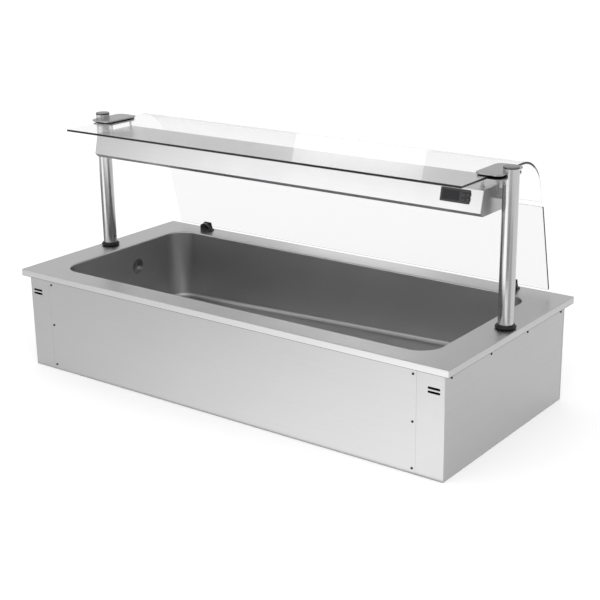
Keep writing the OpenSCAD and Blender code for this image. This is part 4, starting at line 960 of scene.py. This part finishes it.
class COLDWELL_OT_glass(Step, bpy.types.Operator):
    """Bent upper glass and leaning lower glass, with ground edges"""
    bl_idname = "coldwell.glass"
    bl_label = "Glass"

    def build(self, context):
        grind = context.scene.cold_well_canopy.edge_grind / MM
        self.upper(grind)
        self.lower(grind)

    def upper(self, grind):
        half, top, steps, dark_to = GLASS_T / 2, GLASS_HI.z, 40, 24
        mid_r = BEND_R - half
        flat = (GLASS_LO.y, GLASS_LO.y + grind, BEND_Y - 60, BEND_Y - 2)
        path = [(y, top - half, 0.0, 1.0) for y in flat]
        turns = [(BEND_ANGLE * k / steps, 0.0) for k in range(steps + 1)]
        for a, run in turns + [(BEND_ANGLE, run) for run in (2.0, TAIL_L - grind, TAIL_L)]:
            c, s = math.cos(a), math.sin(a)
            path.append((BEND_Y + mid_r * s + run * c, top - BEND_R + mid_r * c - run * s, s, c))
        xs = [GLASS_LO.x, GLASS_LO.x + grind, GLASS_HI.x - grind, GLASS_HI.x]
        bm = bmesh.new()
        last = len(path) - 1

        def edge_kind(i, j):
            """Painted shade along the front and the right end, a paler painted highlight on the tail,
            clear elsewhere.
            """
            if j > last - 2 or (i == 0 and j > 0):
                return 0
            return 1 if j < dark_to else 2

        def sheet(way):
            rows = []
            for j, (y, z, ny, nz) in enumerate(path):
                out = [way * (half - (grind if i in (0, 3) or j in (0, last) else 0)) for i in range(4)]
                rows.append(add_ring(bm, [(x, y + h * ny, z + h * nz) for x, h in zip(xs, out)]))
            for k, f in enumerate(loft(bm, rows, loop=False)):
                j, i = divmod(k, 3)
                f.material_index = 0 if i == 1 and 0 < j else edge_kind(i, j)
            return rows

        a, b = sheet(1), sheet(-1)
        rim = [(j, 0) for j in range(last + 1)] + [(last, i) for i in range(1, 4)]
        rim += [(j, 3) for j in range(last - 1, -1, -1)] + [(0, i) for i in (2, 1)]
        for (j, i), (m, n) in zip(rim, rim[1:] + rim[:1]):
            side = bm.faces.new((a[j][i], a[m][n], b[m][n], b[j][i]))
            side.material_index = edge_kind(max(i, n), max(j, m))
        # The upper pane's clear faces take the paler, painted-light copy of the glass tint.
        piece("upper_pane", bm, ["glass_top", "glass_edge", "pane_edge"], ["upper_glass"],
              angle=20.0)

    def lower(self, grind):
        tall = (PANE_HI.z - PANE_LO.z - GLASS_T * LEAN_SIN) / LEAN_COS
        bm = bmesh.new()
        shape = outline(PANE_HI.x - PANE_LO.x, tall, 3, 0, tall / 2, 6)
        for f in slab(bm, shape, -GLASS_T / 2, GLASS_T / 2, grind,
                      lambda x, z, t: (x, PANE_Y + t * LEAN_COS - z * LEAN_SIN,
                                       DECK_Z + PANE_GAP + t * LEAN_SIN + z * LEAN_COS), 2):
            at = f.calc_center_median() / MM
            # The right end gets the dark edge as painted shade, the top the pale edge as painted light.
            f.material_index = 1 if at.x > PANE_HI.x - 2 else 2 if at.z > PANE_HI.z - 5 else 0
        piece("lower_pane", bm, ["glass", "glass_edge", "pane_edge"], ["lower_glass"],
              angle=20.0)


class COLDWELL_OT_glass_clamps(Step, bpy.types.Operator):
    """Black D-shaped clamps that hold the lower glass to the deck"""
    bl_idname = "coldwell.glass_clamps"
    bl_label = "Glass clamps"

    def build(self, context):
        steps, half, depth = 32, (CHEEK_HI.x - CHEEK_LO.x) / 2, CHEEK_HI.y - CHEEK_LO.y
        foot = CHEEK_HI.z - DECK_Z - half
        for s, side in SIDES:
            cx = s * (CHEEK_LO.x + half)
            bm = bmesh.new()
            rings = []
            for k in range(steps + 1):
                x = -half * math.cos(math.pi * k / steps)
                top = foot + math.sqrt(max(0.0, half ** 2 - x ** 2))
                past = max(0.0, abs(x) - (half - CHEEK_R))
                front = CHEEK_LO.y + CHEEK_R - math.sqrt(CHEEK_R ** 2 - past ** 2)
                section = [(front, 0.0)]
                section += [(front + back, top - down) for down, back in quarter(min(1.6, 0.45 * top), 5)]
                section += [(self.back(top), top), (self.back(0.0), 0.0)]
                rings.append(add_ring(bm, [(cx + x, y, DECK_Z + z) for y, z in section]))
            capped(bm, rings)
            slab(bm, outline(2 * half - 0.02, depth - 0.02, CHEEK_R, cx, CHEEK_LO.y + depth / 2, 8),
                 DECK_Z, DECK_Z + 4, 0.8)
            piece(side + "_clamp_cheek", bm, ["gloss"], [side + "_glass_clamp"],
                  angle=40.0)

    def back(self, z):
        """Where the cheek's back meets the pad, at height z over the deck."""
        face = GLASS_T / 2 + PAD_T
        up = (z - PANE_GAP + face * LEAN_SIN) / LEAN_COS
        return PANE_Y - face * LEAN_COS - up * LEAN_SIN


def box_profile(r=1.4):
    """Light box section as (y, z), with its bends rounded."""
    foot, low, top = BOX_FRONT - BOX_LEAN, DECK_Z + BOX_LOW, DECK_Z + BOX_TOP
    return rounded_profile([(BOX_FRONT, top), (foot, low + BOX_CHAMFER), (foot + BOX_CHAMFER + 1.5, low),
                            (BOX_BACK, low), (BOX_BACK, top)], [r, 2.2, 2.2, r, r])


class COLDWELL_OT_light_box(Step, bpy.types.Operator):
    """Folded light box with its open window underneath, and its two end plates"""
    bl_idname = "coldwell.light_box"
    bl_label = "Light box"

    def build(self, context):
        whole = box_profile()
        inner = moved_in(whole, BOX_T)
        bm = bmesh.new()

        def section(pts, x):
            return add_ring(bm, [(x, y, z) for y, z in pts])

        for x0, x1 in ((-HOUSING_X, -WINDOW_X), (WINDOW_X, HOUSING_X)):
            loft(bm, [section(whole, x0), section(whole, x1), section(inner, x1), section(inner, x0)],
                 closed=True)
        low = DECK_Z + BOX_LOW
        loop = self.split(whole, low) + self.split(inner, low + BOX_T)[::-1]
        loft(bm, [section(loop, -WINDOW_X), section(loop, WINDOW_X)])
        piece("box_shell", bm, ["box"], ["light_box_housing"])
        pts = box_profile(1.8)
        if sum(a[0] * b[1] - b[0] * a[1] for a, b in zip(pts, pts[1:] + pts[:1])) < 0:
            pts.reverse()
        for s, side in SIDES:
            bm = bmesh.new()
            slab(bm, pts, 0, BOX_T, 0.6, lambda y, z, t: (s * (END_X - BOX_T + t), y, z), 3)
            # The end plates carry the darker copy of the box steel: painted shade.
            piece(side + "_box_end", bm, ["box_end"], ["light_box_" + side + "_end"])

    def split(self, pts, low):
        """The section opened along the window: from its back edge round to its front edge."""
        n = len(pts)
        ends = [(pts[i], pts[(i + 1) % n]) for i in range(n)]
        i = next(i for i, (a, b) in enumerate(ends)
                 if abs(a[1] - low) < 0.02 and abs(b[1] - low) < 0.02 and abs(a[0] - b[0]) > 20)
        run = pts[i + 1:] + pts[:i + 1]
        edge = (WINDOW_BACK, WINDOW_FRONT) if run[0][0] > run[-1][0] else (WINDOW_FRONT, WINDOW_BACK)
        return [(edge[0], low)] + run + [(edge[1], low)]


def on_face(x, z, out):
    """A point on the box's leaning front: along it, down it and out of it."""
    c, s = math.cos(FACE_SLOPE), math.sin(FACE_SLOPE)
    return (x, BOX_FRONT - out * c + z * s, DECK_Z + BOX_TOP + out * s + z * c)


class COLDWELL_OT_controller(Step, bpy.types.Operator):
    """Controller's bezel, window and its four keys"""
    bl_idname = "coldwell.controller"
    bl_label = "Controller"

    def build(self, context):
        bm = bmesh.new()
        slab(bm, outline(CTRL_W, CTRL_H, 2.4, CTRL_X, CTRL_MID, 6), 0.0, BEZEL_T - 0.6, 0.9, on_face)
        win_x, win_h = CTRL_X - CTRL_W / 2 + WIN_IN + WIN_W / 2, CTRL_H - 2 * WIN_EDGE
        self.lip(bm, outline(WIN_W + 3, win_h + 3, 2, win_x, CTRL_MID, 5), 0.3, 1.0, 1.4, 0.4)
        for k in range(4):
            well = outline(KEY_S + KEY_PLAY, KEY_S + KEY_PLAY, 2.2, *self.key_at(k), 5)
            self.lip(bm, well, 0.2, 0.6, 0.75, 0.2)
        body = outline(CTRL_W - 14, CTRL_H - 7, 1.5, CTRL_X, CTRL_MID, 4)
        slab(bm, body, -CTRL_DEEP, -0.2, 0.6, on_face, 2)
        piece("controller_body", bm, ["black"], ["controller_case"])
        bm = bmesh.new()
        pane = outline(WIN_W, win_h, 1.0, win_x, CTRL_MID, 4)
        slab(bm, pane, BEZEL_T - 1.6, BEZEL_T - 0.5, 0.25, on_face, 2)
        piece("controller_glass", bm, ["window"], ["controller_window"])
        for k, name in enumerate(("key_up", "key_down", "key_set", "key_power")):
            self.key(name, *self.key_at(k), k)

    def lip(self, bm, pts, outer, flat, inner, drop):
        """Raised rim round a window or a key, with its two upper edges eased."""
        levels = ((0, -1.2), (0, -0.3), (outer, 0), (flat, 0), (inner, -drop), (inner, -1.2))
        loft(bm, stepped(bm, pts, [(e, BEZEL_T + t) for e, t in levels], on_face), closed=True)

    def key_at(self, k):
        """Middle of key k: two columns, each from the top."""
        column, row = divmod(k, 2)
        x = CTRL_X + CTRL_W / 2 - KEY_IN + column * (KEY_S + KEY_GAP)
        return (x, CTRL_MID + (0.5 - row) * (KEY_S + ROW_GAP))

    def key(self, name, x, z, k):
        """Crowned key with a printed mark: arrows, a square and a ring."""
        bm = bmesh.new()
        top = BEZEL_T + KEY_PROUD
        levels = [(0, 0.9)] + [(inset, top - 0.25 - drop) for inset, drop in reversed(quarter(0.7))]
        levels += [(1.9, top - 0.08), (3.0, top - 0.02)]
        capped(bm, stepped(bm, outline(KEY_S, KEY_S, 1.2, x, z, 5), levels, on_face))
        mark = ([(0, 1.4), (-1.5, -1.0), (1.5, -1.0)], [(0, -1.4), (1.5, 1.0), (-1.5, 1.0)],
                [(1.2, 1.2), (-1.2, 1.2), (-1.2, -1.2), (1.2, -1.2)], circle(1.3, seg=20))[k]
        rings = [add_ring(bm, [on_face(x + p, z + q, t) for p, q in mark]) for t in (top - 0.2, top)]
        for f in capped(bm, rings):
            f.material_index = 1
        piece(name + "_top", bm, ["key", "mark"], [name], body=name + "_cap")


class COLDWELL_OT_inner(Step, bpy.types.Operator):
    """Materials and eased edges for the solids that keep their own shape"""
    bl_idname = "coldwell.inner"
    bl_label = "Inner parts"

    def build(self, context):
        for mat, bevels in (
                # The foam gets the near-black material that paints the shade inside the casing.
                ("foam", {"insulation_jacket": 0.0}),
                ("copper", {"evaporator_coil": 0.0, "pipe_stubs": 0.0, "probe_pocket": 0.0}),
                ("fitting", {"temperature_probe": 0.0, "drain_fitting": 0.3, "drain_strainer": 0.25}),
                ("rubber", {"drain_gasket": 0.0, "lamp_cable": 0.0, "glass_clamp_pads": 0.2}),
                ("brass", {"drain_locknut": 0.5}),
                ("plate", {"overflow_cup": 0.2}),
                ("gray", {"overflow_pipe": 0.0, "terminal_box": 0.8}),
                ("zinc", {"hanging_frame": 0.0, "support_rails": 0.0, "bottom_pan": 0.0,
                          "service_tray": 0.0}),
                ("black", {"cable_gland": 0.3}),
                ("screw", {"tie_rods": 0.0, "tie_rod_nuts": 0.4, "clamp_screws": 0.2,
                           "glass_clamp_screws": 0.2, "hanger_studs": 0.25}),
                ("dark_screw", {"post_grub_screws": 0.1}),
                ("gloss", {"glass_clamp_backs": 0.5}),
                ("opal", {"light_diffuser": 0.3}),
                ("white", {"led_board": 0.0, "led_driver": 0.6}),
                ("tube", {"box_brackets": 0.4})):
            for node, bevel in bevels.items():
                dress(node, mat, bevel)


class COLDWELL_PT_panel(bpy.types.Panel):
    """Lists the settings and the pieces"""
    bl_idname = "COLDWELL_PT_panel"
    bl_label = "Cold well"
    bl_space_type = "VIEW_3D"
    bl_region_type = "UI"
    bl_category = "Cold well"

    def draw(self, context):
        for group in GROUPS:
            col = self.layout.column(align=True)
            col.label(text=group.__doc__)
            data = getattr(context.scene, GROUPS[group])
            for key in group.__annotations__:
                col.prop(data, key)
        for op in STEPS:
            self.layout.operator(op.bl_idname)


GROUPS = {ColdWellDeck: "cold_well_deck", ColdWellCasing: "cold_well_casing",
          ColdWellCanopy: "cold_well_canopy", ColdWellBox: "cold_well_box",
          ColdWellStage: "cold_well_stage"}
STEPS = (COLDWELL_OT_stage, COLDWELL_OT_deck, COLDWELL_OT_tank, COLDWELL_OT_casing, COLDWELL_OT_posts,
         COLDWELL_OT_clamps, COLDWELL_OT_glass, COLDWELL_OT_glass_clamps, COLDWELL_OT_light_box,
         COLDWELL_OT_controller, COLDWELL_OT_inner)
CLASSES = (*GROUPS, *STEPS, COLDWELL_PT_panel)


def register():
    for cls in CLASSES:
        bpy.utils.register_class(cls)
    for cls, name in GROUPS.items():
        setattr(bpy.types.Scene, name, PointerProperty(type=cls))


def unregister():
    for name in GROUPS.values():
        delattr(bpy.types.Scene, name)
    for cls in reversed(CLASSES):
        bpy.utils.unregister_class(cls)


def main():
    """Builds every piece."""
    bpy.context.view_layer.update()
    register()
    for step in STEPS:
        getattr(bpy.ops.coldwell, step.bl_idname.partition(".")[2])()


if __name__ == "__main__":
    main()
